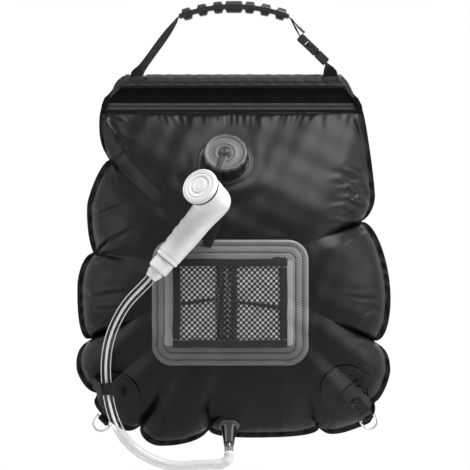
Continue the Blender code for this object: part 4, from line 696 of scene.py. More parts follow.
def front_depth(x, z):
    """The front, which is flat under the filler's and the outlet's flanges."""
    depth = back_depth(x, z)
    for seat_x, seat_z, tilt, radius in (FILLER_PLACE, OUTLET_PLACE):
        away = np.hypot(x - seat_x, (z - seat_z) / math.cos(tilt))
        flat = 1 - eased_step((away - radius) / (radius * 0.9))
        level = float(back_depth(np.array(seat_x), np.array(seat_z))) - math.tan(tilt) * (z - seat_z)
        depth = depth + (level - depth) * flat
    return depth


def seat_frame(seat):
    """A flat place's frame: +Z out of the bag, +X across it."""
    x, z, tilt, _ = seat
    out = Vector((0, -math.cos(tilt), math.sin(tilt)))
    return frame_at(Vector((x, -float(front_depth(np.array(x), np.array(z))), z)), out)


FILLER_FRAME = seat_frame(FILLER_PLACE)
OUTLET_FRAME = seat_frame(OUTLET_PLACE)
print("filler at", [round(1000 * part, 1) for part in FILLER_FRAME.translation])
print("outlet at", [round(1000 * part, 1) for part in OUTLET_FRAME.translation])

# %% Elbow and hose
HOSE_RADIUS = 0.0064
# The radius of the white core, a painted highlight
HIGHLIGHT_CORE_RADIUS = 0.0016
ELBOW_LEAD = 0.002
ELBOW_RADIUS = 0.009
ELBOW_TURN = math.radians(62)
HOSE_STRAIGHT = 0.006
HOSE_POINTS = 150
# The hose bends with the head from this one of its points on
HOSE_ROUTE = (
    (-0.0377, -0.0570, -0.5610),
    (-0.0630, -0.0570, -0.5655),
    (-0.0912, -0.0560, -0.5612),
    (-0.1180, -0.0540, -0.5481),
    (-0.1380, -0.0520, -0.5297),
    (-0.1498, -0.0500, -0.5062),
    (-0.1565, -0.0500, -0.4779),
    (-0.1595, -0.0530, -0.4525),
    (-0.1581, -0.0620, -0.4225),
    (-0.1498, -0.0760, -0.3925),
    (-0.1310, -0.0935, -0.3590),
)
down = OUTLET_FRAME.to_3x3().col[2]
elbow_start = OUTLET_FRAME @ Vector((0, 0, ELBOW_START))
elbow_line = [elbow_start]
for angle in np.linspace(0, ELBOW_TURN, 9):
    drop = ELBOW_LEAD + ELBOW_RADIUS * math.sin(angle)
    sideways = ELBOW_RADIUS * (1 - math.cos(angle))
    elbow_line.append(elbow_start + down * drop - X_AXIS * sideways)
lead = (elbow_line[-1] - elbow_line[-2]).normalized()
hose_start = elbow_line[-1] + lead * SEAT_GAP
handle_axis = HANDLE_FRAME.to_3x3().col[2]
hose_end = HANDLE_FRAME @ Vector((0, 0, HOSE_END))
route = [hose_start, hose_start + lead * HOSE_STRAIGHT, hose_start + lead * HOSE_STRAIGHT * 2]
route += [Vector(point) for point in HOSE_ROUTE]
route += [hose_end + handle_axis * HOSE_STRAIGHT * 3, hose_end + handle_axis * HOSE_STRAIGHT, hose_end]
table = np.array([tuple(point) for point in spaced(route, HOSE_POINTS)])
for _ in range(60):
    table[3:-3] = (table[2:-4] + 2 * table[3:-3] + table[4:-2]) / 4
hose_line = [Vector(point) for point in table]


def clear_tube(name, points, body, node):
    """A clear skin round a white core that paints the highlight down its middle."""
    skin = wire(name, points, HOSE_RADIUS, 40)
    skin_faces = len(skin.polygons)
    both = joined(name, [skin, wire("core", points, HIGHLIGHT_CORE_RADIUS, 16)])
    made = piece(both, CLEAR_VINYL, "clear_vinyl", body, node)
    made.data.materials.append(HIGHLIGHT_CORE)
    for face in made.data.polygons[skin_faces:]:
        face.material_index = 1
    return made


hose = clear_tube("hose_clear", hose_line, None, "hose")
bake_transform(hose)
clear_tube("hose_bend", elbow_line, "bag", "hose_elbow")

# %% Spout, seal, adapter and ring
spout_profile = [
    (0.0044, SPOUT_LENGTH),
    (0.0060, SPOUT_LENGTH),
    (0.0066, 0.0272),
    (0.0070, 0.024),
    (0.0096, 0.0050),
    (0.0108, 0.0030),
    (0.0127, 0.0024),
    (SPOUT_FLANGE, 0.0012),
    (SPOUT_FLANGE, 0.0),
    (0.0044, 0.0),
]
spout = turned("outlet_cone", spout_profile, OUTLET_FRAME, closed=True, soften=0.0008)
piece(spout, SPOUT_GLOSS, "black_plastic", "bag", "outlet_spout")


def washer(inner, outer, low, thick):
    """The profile of a flat ring."""
    return [(outer, low + thick), (outer, low), (inner, low), (inner, low + thick)]


seal_profile = washer(0.0044, 0.0064, SEAL_LOW, SEAL_THICK)
seal = turned("outlet_gasket", seal_profile, OUTLET_FRAME, closed=True, soften=0.0003)
piece(seal, SEAL_RUBBER, "seal_rubber", "bag", "outlet_seal")
adapter_profile = [
    (0.0028, ADAPTER_LOW + ADAPTER_LENGTH),
    (0.0053, ADAPTER_LOW + ADAPTER_LENGTH),
    (0.0060, ADAPTER_LOW),
    (0.0041, ADAPTER_LOW),
    (0.0041, ADAPTER_LOW - 0.008),
    (0.0028, ADAPTER_LOW - 0.008),
]
adapter = turned("outlet_nipple", adapter_profile, OUTLET_FRAME, closed=True, soften=0.0004)
piece(adapter, GREY_VINYL, "grey_vinyl", "bag", "outlet_adapter")
ring_profile = washer(0.0028, 0.0063, RING_LOW, RING_LENGTH)
ring = turned("outlet_collar", ring_profile, OUTLET_FRAME, closed=True, soften=0.0006)
piece(ring, WHITE_PLASTIC, "white_plastic", "bag", "outlet_ring")
print("outlet, mm long:", round(1000 * ELBOW_START, 1))

# %% [markdown]
# ## The bag's cloth
#
# A full bag's cloth is tight over the water and buckled near the seam, where there is more cloth than edge.
# A cloth simulation of so large a shell would smooth exactly those folds away, so they are laid into the
# shape one by one: a fan of folds at each drawn-in place, longer folds where they are seen, and fine
# puckers along the weld. Each is a crest with a valley beside it, strongest at the seam and gone at its
# inner end.

# %% Folds of the cloth
PATCH_MIDDLE = (-0.0046, -0.3612)
# Width, height and the radius of the corners
PATCH_SIZE = (0.193, 0.155, 0.025)
SPOT_RADIUS = 0.031
WELD_SPOTS = (("left", -0.1480, -0.4790), ("right", 0.1385, -0.4700))
# Each fold's points in mm, across and up from the seam inwards, then its height and its width
FOLDS = (
    (((-179, -350), (-156, -346), (-132, -344)), 3.2, 3.0),
    (((-172, -366), (-152, -365), (-140, -362)), 2.2, 2.4),
    (((-181, -401), (-158, -389), (-132, -381)), 3.2, 3.2),
    (((-176, -392), (-160, -384), (-149, -381)), 2.0, 2.0),
    (((-169, -248), (-150, -240), (-128, -236)), 2.8, 2.6),
    (((-171, -256), (-158, -251), (-144, -249)), 1.8, 2.0),
    (((-171, -290), (-150, -277), (-127, -265)), 3.4, 3.2),
    (((-175, -298), (-163, -287), (-154, -273)), 2.6, 2.2),
    (((-174, -305), (-158, -303), (-146, -298)), 1.6, 2.4),
    (((-158, -184), (-146, -178), (-136, -170), (-147, -160)), 3.0, 2.8),
    (((-156, -192), (-144, -190), (-131, -183)), 2.0, 2.2),
    (((-150, -150), (-135, -156), (-118, -158)), 1.6, 4.0),
    (((162, -261), (145, -257), (134, -262), (142, -268)), 3.6, 2.6),
    (((162, -266), (150, -268), (132, -275)), 2.8, 2.4),
    (((148, -214), (140, -218), (126, -219)), 2.6, 2.6),
    (((157, -229), (148, -235), (139, -240)), 2.6, 2.2),
    (((164, -243), (154, -246), (146, -252)), 2.2, 2.0),
    (((172, -224), (160, -205), (138, -192)), 3.2, 3.0),
    (((168, -232), (157, -239), (142, -230), (126, -232)), 3.2, 3.0),
    (((166, -240), (150, -222), (132, -207), (110, -206)), 2.6, 4.0),
    (((160, -200), (150, -196), (134, -198)), 2.0, 3.2),
    (((165, -252), (150, -247), (136, -240), (116, -243)), 3.2, 3.4),
    (((163, -215), (152, -211), (139, -214)), 2.2, 2.4),
    (((170, -274), (152, -281), (138, -293)), 2.6, 3.0),
    (((176, -374), (165, -379), (150, -388)), 2.4, 2.4),
    (((178, -362), (160, -361), (141, -357)), 1.8, 2.2),
    (((174, -350), (155, -351), (131, -349)), 1.4, 3.6),
    (((174, -412), (163, -406), (148, -403)), 2.8, 2.6),
    (((172, -424), (160, -416), (152, -414)), 1.8, 2.0),
    (((-118, -520), (-120, -505), (-122, -486)), 3.0, 2.8),
    (((-124, -516), (-130, -505), (-133, -494)), 2.0, 2.2),
    (((-33, -522), (-29, -500), (-24, -476)), 3.0, 2.6),
    (((-14, -522), (-18, -503), (-22, -484)), 2.2, 2.2),
    (((-40, -520), (-46, -504), (-48, -492)), 1.6, 2.2),
    (((106, -518), (98, -500), (84, -475)), 3.2, 3.0),
    (((108, -517), (103, -499), (97, -478)), 2.2, 2.2),
    (((114, -514), (118, -500), (120, -488)), 1.8, 2.2),
    (((62, -522), (60, -506), (61, -490)), 1.6, 2.6),
    (((30, -522), (33, -510), (32, -498)), 1.2, 2.4),
    (((-70, -522), (-72, -508), (-70, -492)), 1.6, 2.6),
    (((-92, -522), (-90, -510), (-92, -500)), 1.2, 2.2),
    (((153, -134), (161, -160), (166, -190)), 2.2, 2.2),
    (((-158, -130), (-164, -146), (-160, -164)), 2.0, 2.4),
    (((178, -300), (160, -306), (144, -318)), 1.4, 4.0),
    (((-178, -440), (-160, -438), (-148, -433)), 1.6, 2.6),
    (((170, -448), (158, -442), (150, -440)), 1.6, 2.4),
)
# The fan of folds at each drawn-in place: its turn, its length, its height and its width
NOTCH_FOLDS = (
    (0.0, 46, -2.6, 3.2),
    (0.42, 34, 1.7, 2.4),
    (-0.38, 38, 1.9, 2.6),
    (0.85, 24, 1.3, 1.9),
    (-0.80, 27, 1.4, 2.0),
)
PLEATS_ACROSS = (-111, -101, -80, -66, -51, -34, -17, 0, 15, 32, 49, 66, 83, 100, 116, 132, 146)
PLEATS_UP = -119


def crest(x, z, line, high, wide):
    """The height of one fold at each place, in metres."""
    knots = np.array(line) / 1000
    width = wide / 1000
    runs = np.linalg.norm(np.diff(knots, axis=0), axis=1)
    best = np.full(x.shape, 1e9)
    side = np.zeros(x.shape)
    along = np.zeros(x.shape)
    gone = 0.0
    for first, second, run in zip(knots, knots[1:], runs):
        way = (second - first) / run
        ahead = np.clip((x - first[0]) * way[0] + (z - first[1]) * way[1], 0, run)
        off_x = x - first[0] - ahead * way[0]
        off_z = z - first[1] - ahead * way[1]
        away = np.hypot(off_x, off_z)
        nearer = away < best
        best = np.where(nearer, away, best)
        side = np.where(nearer, np.sign(off_x * way[1] - off_z * way[0]), side)
        along = np.where(nearer, (gone + ahead) / runs.sum(), along)
        gone += run
    offset = best * side / width
    fade = (1 - along) ** 0.7 * np.exp(-np.maximum(best / width - 3, 0))
    return high / 1000 * fade * (np.exp(-(np.abs(offset) ** 1.5)) - 0.7 * np.exp(-((offset - 1.6) ** 2)))


def calm_places(x, z):
    """0 under the pieces that are welded or screwed flat to the bag, 1 on the free cloth."""
    seats = [(*FILLER_PLACE[:2], 0.038, 0.012), (OUTLET_X, -OUTLET_DROP, 0.016, 0.012)]
    seats += [(spot_x, spot_z, SPOT_RADIUS + 0.003, 0.008) for _, spot_x, spot_z in WELD_SPOTS]
    free = np.ones(x.shape)
    for seat_x, seat_z, radius, fade in seats:
        free = free * eased_step((np.hypot(x - seat_x, z - seat_z) - radius) / fade)
    aside_x = np.abs(x - PATCH_MIDDLE[0]) - PATCH_SIZE[0] / 2
    aside_z = np.abs(z - PATCH_MIDDLE[1]) - PATCH_SIZE[1] / 2
    return free * eased_step((np.maximum(aside_x, aside_z) - 0.002) / 0.010)


def folded(x, z):
    """All the folds of the front cloth at each place, in metres."""
    up = z - CENTRE_Z
    angle = np.arctan2(up, x) % math.tau
    reach = edge_reach(angle)
    inside = reach - MARGIN - np.hypot(x, up)
    total = np.zeros(x.shape)
    for line, high, wide in FOLDS:
        total += crest(x, z, line, high, wide)
    for index, across in enumerate(PLEATS_ACROSS):
        lean = 3 * math.cos(2.1 * index)
        long = 22 + 6 * math.sin(3.7 * index)
        line = ((across, PLEATS_UP), (across + lean, PLEATS_UP - long))
        total += crest(x, z, line, 0.9 + 0.4 * math.cos(1.3 * index), 3.4)
    for index in range(1, len(NOTCHES)):
        tip = np.array([NOTCH_X[index], NOTCH_UP[index] + CENTRE_Z]) * 1000
        inward = math.atan2(-NOTCH_UP[index], -NOTCH_X[index])
        for turn, long, high, wide in NOTCH_FOLDS:
            way = inward + turn + 0.12 * math.cos(2.7 * index + 5 * turn)
            reach_in = long + 8 * math.sin(1.9 * index + 3 * turn)
            line = (tuple(tip), (tip[0] + reach_in * math.cos(way), tip[1] + reach_in * math.sin(way)))
            total += crest(x, z, line, high, wide)
    fine = np.sin(angle * 173 + 1.7 * np.sin(angle * 31)) * (0.6 + 0.4 * np.sin(angle * 17))
    total += 0.00055 * fine * np.exp(-(((inside - 0.004) / 0.008) ** 2))
    total += 0.0009 * np.sin(x * 71 + 1.3) * np.sin(z * 63 - x * 22 + 0.4)
    total += 0.0005 * np.sin(x * 150 + z * 48) * np.sin(z * 131 - x * 60)
    return total * calm_places(x, z) * eased_step(inside / 0.006)


print("folds:", len(FOLDS), "pleats:", len(PLEATS_ACROSS))

# %% The bag
FILLER_HOLE = 0.0195
ROUND = 640
INWARD = 100
turn = np.linspace(0, math.tau, ROUND, endpoint=False)
edge = edge_reach(turn)
share = 1 - (1 - np.linspace(0.012, 1, INWARD)) ** 1.7
grid_x = np.outer(share, edge * np.cos(turn))
grid_z = CENTRE_Z + np.outer(share, edge * np.sin(turn))
rim = eased_step((np.outer(share, edge) - (edge - MARGIN)) / MARGIN + 0.3)
rim = rim * eased_step((BAG_TOP_Z - 0.004 - grid_z) / 0.010)
wave = 0.0011 * rim * np.sin(turn * 61 + 2 * np.sin(turn * 13))
front = np.stack([grid_x, -front_depth(grid_x, grid_z) - folded(grid_x, grid_z) + wave, grid_z], axis=2)
back = np.stack([grid_x, back_depth(grid_x, grid_z) + 0.5 * folded(-grid_x, grid_z) + wave, grid_z], axis=2)
rows = np.concatenate([front, back[::-1]])
bag_mesh = tidied(lofted("bag", rows, flat=rows[:, :, (0, 2)]), 0.00001)


def opened(mesh, gone):
    """The mesh without the faces whose middle is to go."""
    built = bmesh.new()
    built.from_mesh(mesh)
    faces = [face for face in built.faces if gone(face.calc_center_median())]
    bmesh.ops.delete(built, geom=faces, context="FACES")
    bmesh.ops.recalc_face_normals(built, faces=built.faces)
    built.to_mesh(mesh)
    built.free()
    return mesh


def in_filler(middle):
    place = FILLER_FRAME.inverted() @ middle
    return math.hypot(place.x, place.y) < FILLER_HOLE and abs(place.z) < FILLER_HOLE


bag = piece(opened(bag_mesh, in_filler), BAG_CLOTH, "coated_fabric", "bag", "bladder", angle=75)
print("bag faces:", len(bag.data.polygons))


def raised(x, z, lift):
    """Points that stand a lift above the bag's smooth front."""
    x, z, lift = np.broadcast_arrays(np.asarray(x, float), np.asarray(z, float), np.asarray(lift, float))
    step = 0.0005
    slope_x = (front_depth(x + step, z) - front_depth(x - step, z)) / (2 * step)
    slope_z = (front_depth(x, z + step) - front_depth(x, z - step)) / (2 * step)
    out = np.stack([-slope_x, -np.ones(x.shape), -slope_z], axis=-1)
    out /= np.linalg.norm(out, axis=-1, keepdims=True)
    return np.stack([x, -front_depth(x, z), z], axis=-1) + out * lift[..., None]


def on_bag(x, z, lift=0.0):
    return Vector(raised(x, z, lift))

# %% [markdown]
# ## Straps and stitches
#
# Webbing is flat and stiff in its width, so a strap is a path of stations that also say which way the
# width lies, with a flat oval section swept along it. A row of stitches is many short threads that
# stand on the cloth in the middle and dive into it at both ends.

# %% Straps and stitches
THREAD_SIDES = 6
THREAD_ROWS = 5


def strap(name, stations, width, thick, count=60, closed=False, sides=16):
    """A strap along a smooth curve through (middle, across) stations. width may change on its way."""
    middles = spaced([middle for middle, _ in stations], count, closed)
    knots = [middle for middle, _ in stations]
    ways = [across.normalized() for _, across in stations]
    if closed:
        knots.append(knots[0])
        ways.append(ways[0])
    gone = distances(knots)
    turned_ways = read_off(ways, gone, np.linspace(0, gone[-1], count + 1 if closed else count))
    rows = []
    for index, middle in enumerate(middles):
        before = middles[index - 1] if closed or index else middle
        after = middles[(index + 1) % count] if closed or index < count - 1 else middle
        along = (after - before).normalized()
        across = Vector(turned_ways[index])
        across = (across - along * across.dot(along)).normalized()
        out = across.cross(along)
        wide = width[index] if isinstance(width, (list, tuple)) else width
        row = []
        for angle in turns(sides, 0.5):
            over = math.copysign(abs(math.cos(angle)) ** 0.3, math.cos(angle)) * wide / 2
            high = math.copysign(abs(math.sin(angle)) ** 0.7, math.sin(angle)) * thick / 2
            row.append(middle + across * over + out * high)
        rows.append(row)
    return tidied(lofted(name, rows, loop=closed))


def stitches(name, points, outs, pitch=0.0026, gap=0.0008, thick=0.0003):
    """A row of threads along a line of points, each with its way out of the cloth."""
    gone = distances(points)
    corners = []
    faces = []
    for start in np.arange(0, gone[-1] - pitch, pitch):
        wanted = start + (pitch - gap) * np.linspace(0, 1, THREAD_ROWS)
        spots = read_off(points, gone, wanted)
        along = spots[-1] - spots[0]
        low = len(corners)
        for row, (spot, normal) in enumerate(zip(spots, read_off(outs, gone, wanted))):
            arch = math.sin(math.pi * row / (THREAD_ROWS - 1))
            side = np.cross(along, normal)
            side /= np.linalg.norm(side)
            radius = thick * (0.55 + 0.45 * arch)
            for angle in turns(THREAD_SIDES):
                ring = side * math.cos(angle) + normal * math.sin(angle)
                corners.append(spot + normal * thick * (1.6 * arch - 0.6) + ring * radius)
        for row in range(THREAD_ROWS - 1):
            first = low + row * THREAD_SIDES
            for step in range(THREAD_SIDES):
                beside = (step + 1) % THREAD_SIDES
                above = first + THREAD_SIDES
                faces.append((first + step, first + beside, above + beside, above + step))
    mesh = bpy.data.meshes.new(name)
    mesh.from_pydata([tuple(corner) for corner in corners], [], faces)
    mesh.uv_layers.new(name="cloth")
    return mesh


def modified(mesh, *modifiers):
    """The mesh after a few modifiers, each given as its type and its settings."""
    holder = bpy.data.objects.new("holder", mesh)
    bpy.context.scene.collection.objects.link(holder)
    for kind, settings in modifiers:
        added = holder.modifiers.new(kind, kind)
        for key, value in settings.items():
            setattr(added, key, value)
    graph = bpy.context.evaluated_depsgraph_get()
    made = bpy.data.meshes.new_from_object(holder.evaluated_get(graph), depsgraph=graph)
    name = mesh.name
    bpy.data.objects.remove(holder)
    bpy.data.meshes.remove(mesh)
    made.name = name
    return made


THREAD = moulded("thread", (0.030, 0.030, 0.032), 0.6, 0.0004, 0.00004, 0.3)
PALE_THREAD = moulded("pale_thread", (0.085, 0.085, 0.088), 0.6, 0.0004, 0.00004, 0.3)

# %% [markdown]
# ## Hem
#
# The bag hangs from a rod in a cloth sleeve. Below it the cloth is folded double into a band, painted near
# black for the shade under the sleeve, and a welded strip with two pressed ridges closes the bladder. The
# band's corners are folded over like a paper parcel, and its corner flaps carry the same painted shade. The
# sleeve is one wall with some thickness, cut open where the straps come out.

# %% Sleeve, band and weld strips
ROD_CENTRE = Vector((0, 0, -0.0855))
ROD_RADIUS = 0.005
ROD_BORE = 0.0035
ROD_HALF = 0.131
SLEEVE_RADIUS = 0.008
SLEEVE_WALL = 0.0009
SLEEVE_STEPS = 56
STRAP_PLACE = 0.120
STRAP_SLOT = 0.0106
# The seam ends short of the straps, which swing over the sleeve
SEAM_HALF = 0.1075
SEAM_TURN = math.radians(148)
# How far the sleeve reaches on its left and right, and how much its ends slant
SLEEVE_ENDS = ((0.1430, 0.0080), (0.1395, 0.0058))


def sleeve_rows():
    """A flattened tube with a pressed groove, whose ends slant outwards and are sewn flat."""
    rows = []
    for share in np.linspace(-1, 1, 321):
        half, slant = SLEEVE_ENDS[0] if share < 0 else SLEEVE_ENDS[1]
        pinch = math.sqrt(1 - min(1, max(0, (abs(share) - 0.955) / 0.047)) ** 2)
        row = []
        for angle in turns(SLEEVE_STEPS):
            ahead = math.copysign(abs(math.cos(angle)) ** 0.75, math.cos(angle))
            up = math.copysign(abs(math.sin(angle)) ** 0.75, math.sin(angle))
            across = share * (half - slant * up)
            crease = math.sin(across * 410 + 3 * math.sin(angle)) * math.sin(across * 95 + 2 * angle)
            tuck = 0.0008 * math.exp(-(((angle - math.radians(193)) / 0.09) ** 2))
            tuck += 0.0003 * math.exp(-(((angle - math.radians(226)) / 0.07) ** 2))
            radius = SLEEVE_RADIUS - 0.0004 + 0.0003 * crease - tuck
            row.append((across, radius * pinch * ahead, ROD_CENTRE.z + (radius + 0.0013) * up))
        rows.append(row)
    return rows


def in_slot(middle):
    return abs(abs(middle.x) - STRAP_PLACE) < STRAP_SLOT and middle.z > ROD_CENTRE.z


sleeve_mesh = opened(lofted("hem_sleeve", sleeve_rows(), ends=False), in_slot)
sleeve_mesh = modified(sleeve_mesh, ("SOLIDIFY", {"thickness": SLEEVE_WALL, "offset": -1}))
seam_out = Vector((0, math.cos(SEAM_TURN), math.sin(SEAM_TURN)))
seam_foot = ROD_CENTRE + seam_out * (SLEEVE_RADIUS + 0.0006)
seam_points = [seam_foot + X_AXIS * across for across in np.linspace(-SEAM_HALF, SEAM_HALF, 60)]
piece(stitches("sleeve_seam", seam_points, [seam_out] * 60), THREAD, "coated_fabric", "bag")

BAND_TOP = ROD_CENTRE.z - SLEEVE_RADIUS - 0.0003
BAND_FOOT = BAG_TOP_Z - 0.0012
# How far down the band, and how far out its left and right edges are there, in mm
HEM_DOWN = (0.0, 0.22, 0.48, 0.82, 1.0)
HEM_OUT = ((150.5, 155.5, 160.5, 164.5, 167.0), (144.5, 148.0, 152.5, 158.0, 161.0))
band_rows = []
for step in range(25):
    down = step / 24
    z = BAND_TOP + (BAND_FOOT - BAND_TOP) * down
    left, right = [np.interp(down, HEM_DOWN, HEM_OUT[side]) / 1000 for side in (0, 1)]
    thick = 0.0015 - 0.0006 * math.sin(math.pi * down)
    wide = []
    for column in range(161):
        x = right * column / 160 - left * (1 - column / 160)
        wave = 0.0005 * math.sin(x * 88 + 1.2 * down) * math.sin(math.pi * down)
        wave += 0.00045 * math.sin(x * 236 + 2 * math.sin(x * 60)) * down
        wide.append((x, wave, z, thick))
    row = [(x, wave - thick, z) for x, wave, z, thick in wide]
    row += [(x, wave + thick, z) for x, wave, z, thick in wide[::-1]]
    band_rows.append(row)
band_mesh = tidied(lofted("folded_band", band_rows))


def corner_fold(name, line, steps=24):
    """A flap folded over a corner, through places across, up and out, with a width at each, in mm."""
    knots = np.array(line) / 1000
    found = read_off(knots, np.arange(len(knots)), np.linspace(0, len(knots) - 1, steps))
    across = Vector((math.copysign(0.86, line[0][0]), 0, 0.51))
    stations = [(Vector((x, y, z)), across) for x, z, y, _ in found]
    return strap(name, stations, list(found[:, 3]), 0.0014, steps)


END_FLAPS = (
    (
        *((-136, -80, -5.6, 5), (-142, -87, -4.6, 9), (-147, -94, -3.6, 9)),
        *((-151, -100, -3.4, 5), (-155, -106, -3.2, 1.5)),
    ),
    (
        *((134, -80, -5.6, 4), (139, -88, -4.6, 7), (143.5, -96, -3.6, 7)),
        *((148, -103, -3.4, 5), (151, -109, -3.2, 1.5)),
    ),
)
# Flaps at the band's corners, which carry the band's painted shade
SHADED_FLAPS = (
    ((-154, -101, -3.0, 3), (-158.5, -108, -3.6, 8), (-161.5, -116, -4.0, 8), (-165, -125, -3.4, 3)),
    ((147, -101, -3.0, 3), (152, -109, -3.6, 8), (156, -117, -4.0, 8), (160, -126, -3.4, 3)),
)
# The weld's section: shares of its height, and how far it stands out there in shares of a ridge
WELD_SECTION = (
    *((0, 0), (0, 0.6), (0.08, 0.85), (0.16, 1.0), (0.24, 0.6), (0.34, 0.5), (0.44, 0.55)),
    *((0.54, 0.6), (0.64, 0.95), (0.72, 1.1), (0.8, 0.9), (0.9, 0.6), (1.0, 0.5), (1.0, 0)),
)
WELD_HEIGHT = 0.0086
WELD_LOW = 0.0018
WELD_RIDGE = 0.0009
WELD_ENDS = (-0.1600, 0.1550)
shaded_folds = [corner_fold(f"shaded_flap_{index}", line) for index, line in enumerate(SHADED_FLAPS)]
band_mesh = joined("folded_band", [band_mesh] + shaded_folds)
band = piece(band_mesh, SHADED_BAND_CLOTH, "dark_band", "bag", "hem_band", angle=50)
for name, node, side in (("front_weld", "weld_strip_front", -1), ("back_weld", "weld_strip_back", 1)):
    rows = []
    for across in np.linspace(*WELD_ENDS, 240):
        ripple = 0.00015 * math.sin(across * 520) + 0.0002 * math.sin(across * 170)
        row = []
        for high, stand in WELD_SECTION:
            y = side * (WELD_LOW + WELD_RIDGE * stand) + side * ripple * stand
            row.append((across, y, BAND_FOOT + WELD_HEIGHT * high))
        rows.append(row)
    piece(tidied(lofted(name, rows)), HEM_CLOTH, "coated_fabric", "bag", node, angle=60)
rod_profile = [(ROD_BORE, -ROD_HALF), (ROD_RADIUS, -ROD_HALF), (ROD_RADIUS, ROD_HALF), (ROD_BORE, ROD_HALF)]
rod = turned("hanging_rod", rod_profile, frame_at(ROD_CENTRE, X_AXIS, Y_AXIS), closed=True, soften=0.0006)
piece(rod, WHITE_PLASTIC, "white_plastic", "bag", "sleeve_rod")
end_folds = [corner_fold(f"end_flap_{index}", line) for index, line in enumerate(END_FLAPS)]
sleeve_mesh = joined("hem_sleeve", [sleeve_mesh] + end_folds)
piece(sleeve_mesh, HEM_CLOTH, "coated_fabric", "bag", "rod_sleeve", angle=50)
print("hem from", round(1000 * BAND_TOP, 1), "to", round(1000 * BAND_FOOT, 1))

# %% [markdown]
# ## Handle
#
# One strap leaves the rod on the left, turns a quarter on its way up, runs through a rubber grip with
# seven blocks, and ends round the bar of a side-release buckle. A second short strap joins the buckle
# to the rod. The grip's outline is drawn once, its corners are rounded, and it is swept across the
# hand with its rim drawn in, as a mould would leave it.

# %% Grip
GRIP_HALF = 0.0685
GRIP_RISE = 0.0125
GRIP_BAND = 0.0062
GRIP_STAND = 0.0044
GRIP_FLARE = 0.0013
GRIP_TAPER = 0.0006
GRIP_ROUND = 0.0014
BLOCK_PITCH = 0.0198
BLOCK_HALF = 0.00525
MIDDLE_BLOCK_HALF = 0.010
GRIP_RADIUS = (GRIP_HALF**2 + GRIP_RISE**2) / (2 * GRIP_RISE)
GRIP_CENTRE = -(GRIP_RADIUS - GRIP_BAND / 2 - GRIP_STAND) * math.cos(MIDDLE_BLOCK_HALF / GRIP_RADIUS)
GRIP_ANGLE = math.asin(GRIP_HALF / GRIP_RADIUS)


def on_grip(angle, rise=0.0):
    radius = GRIP_RADIUS + rise
    return Vector((radius * math.sin(angle), 0, GRIP_CENTRE + radius * math.cos(angle)))


def grip_outline():
    """The grip's edge as (across, up), over the blocks and back under them."""
    edges = []
    foot = GRIP_FLARE / GRIP_RADIUS
    tip = GRIP_TAPER / GRIP_RADIUS
    for side in (1, -1):
        band = side * GRIP_BAND / 2
        block = side * (GRIP_BAND / 2 + GRIP_STAND)
        edge = [on_grip(-GRIP_ANGLE, band)]
        for index in range(-3, 4):
            half = BLOCK_HALF if index else MIDDLE_BLOCK_HALF
            start = (index * BLOCK_PITCH - half) / GRIP_RADIUS
            end = (index * BLOCK_PITCH + half) / GRIP_RADIUS
            edge += [on_grip(start - foot, band), on_grip(start + tip, block)]
            edge += [on_grip(end - tip, block), on_grip(end + foot, band)]
        edge.append(on_grip(GRIP_ANGLE, band))
        edges.append(edge)
    edge = [(point.x, point.z) for point in edges[0] + edges[1][::-1]]
    return eased(edge, GRIP_ROUND, closed=True, steps=4)


outline = np.array(grip_outline())
ahead = np.roll(outline, -1, axis=0) - np.roll(outline, 1, axis=0)
inward = np.stack([ahead[:, 1], -ahead[:, 0]], axis=1)
inward /= np.linalg.norm(inward, axis=1)[:, None]
centred = outline - np.array([0, GRIP_CENTRE])
reach = np.linalg.norm(centred, axis=1)
outwards = centred / reach[:, None]
stand = np.sign(reach - GRIP_RADIUS) * np.maximum(np.abs(reach - GRIP_RADIUS) - GRIP_BAND / 2, 0)
# Places across the hand, how far the rim is drawn in there, and how far the blocks are cut back
grip_rows = [
    *((-0.015, 0.0012, 0.95), (-0.0147, 0.0005, 0.90), (-0.0142, 0.00015, 0.82), (-0.0134, 0.0, 0.70)),
    *((-0.0112, 0.0, 0.36), (-0.0095, 0.0, 0.10), (-0.0080, 0.0, 0.0)),
]
grip_rows += [(-y, inset, cut) for y, inset, cut in grip_rows[::-1]]
rows = []
for y, inset, cut in grip_rows:
    moved = outline + inward * inset - outwards * (stand * cut)[:, None]
    rows.append([(x, y, z) for x, z in moved])
grip = piece(tidied(lofted("rubber_grip", rows)), GRIP_RUBBER, "grip_rubber", "handle", "grip", angle=50)
grip.modifiers.new("normals", "WEIGHTED_NORMAL").keep_sharp = True
print("grip faces:", len(grip.data.polygons))

# %% Webbing of the handle
WEB_WIDTH = 0.020
WEB_THICK = 0.0015
BUCKLE_SLOPE = math.radians(43.9)
BUCKLE_DOWN = Vector((math.cos(BUCKLE_SLOPE), 0, -math.sin(BUCKLE_SLOPE)))
BUCKLE_START = Vector((0.0819, 0, -0.0294))
BUCKLE_BAR = 0.0030
SOCKET_BAR = BUCKLE_START + BUCKLE_DOWN * 0.0045
PLUG_BAR = BUCKLE_START + BUCKLE_DOWN * 0.0423
BAR_EYE = BUCKLE_BAR / 2 * math.sqrt(2) + SEAT_GAP + WEB_THICK / 2
ROD_EYE = ROD_RADIUS + SEAT_GAP + WEB_THICK / 2
ROD_EYE_WIDTH = 0.0212
TWISTS_FROM = 0.004
# How much of its quarter turn a strap has made, at even steps on its way up
LONG_TURNS = (0.44, 0.58, 0.61, 0.62, 0.62, 0.62, 0.62, 0.63, 0.66, 0.72, 0.82, 1.0)
SHORT_TURNS = (0.34, 0.42, 0.48, 0.54, 0.62, 0.72, 0.82, 0.92, 1.0)
# The tail: shares of the way from grip to buckle, how far it lies off the strap in mm, and its tilt
TAIL_STATIONS = ((0.12, 1.7, 0.0), (0.35, 2.6, 0.08), (0.6, 4.4, 0.20), (0.84, 6.6, 0.20))
TAIL_SEAM_SHARES = (0.16, 0.24)


def eye_strap(name, middle, first, second, radius, across, width):
    """The end of a strap, closed round a rod or bar."""
    stations = []
    for angle in turns(12):
        stations.append((middle + (first * math.cos(angle) + second * math.sin(angle)) * radius, across))
    return strap(name, stations, width, WEB_THICK, 48, closed=True)


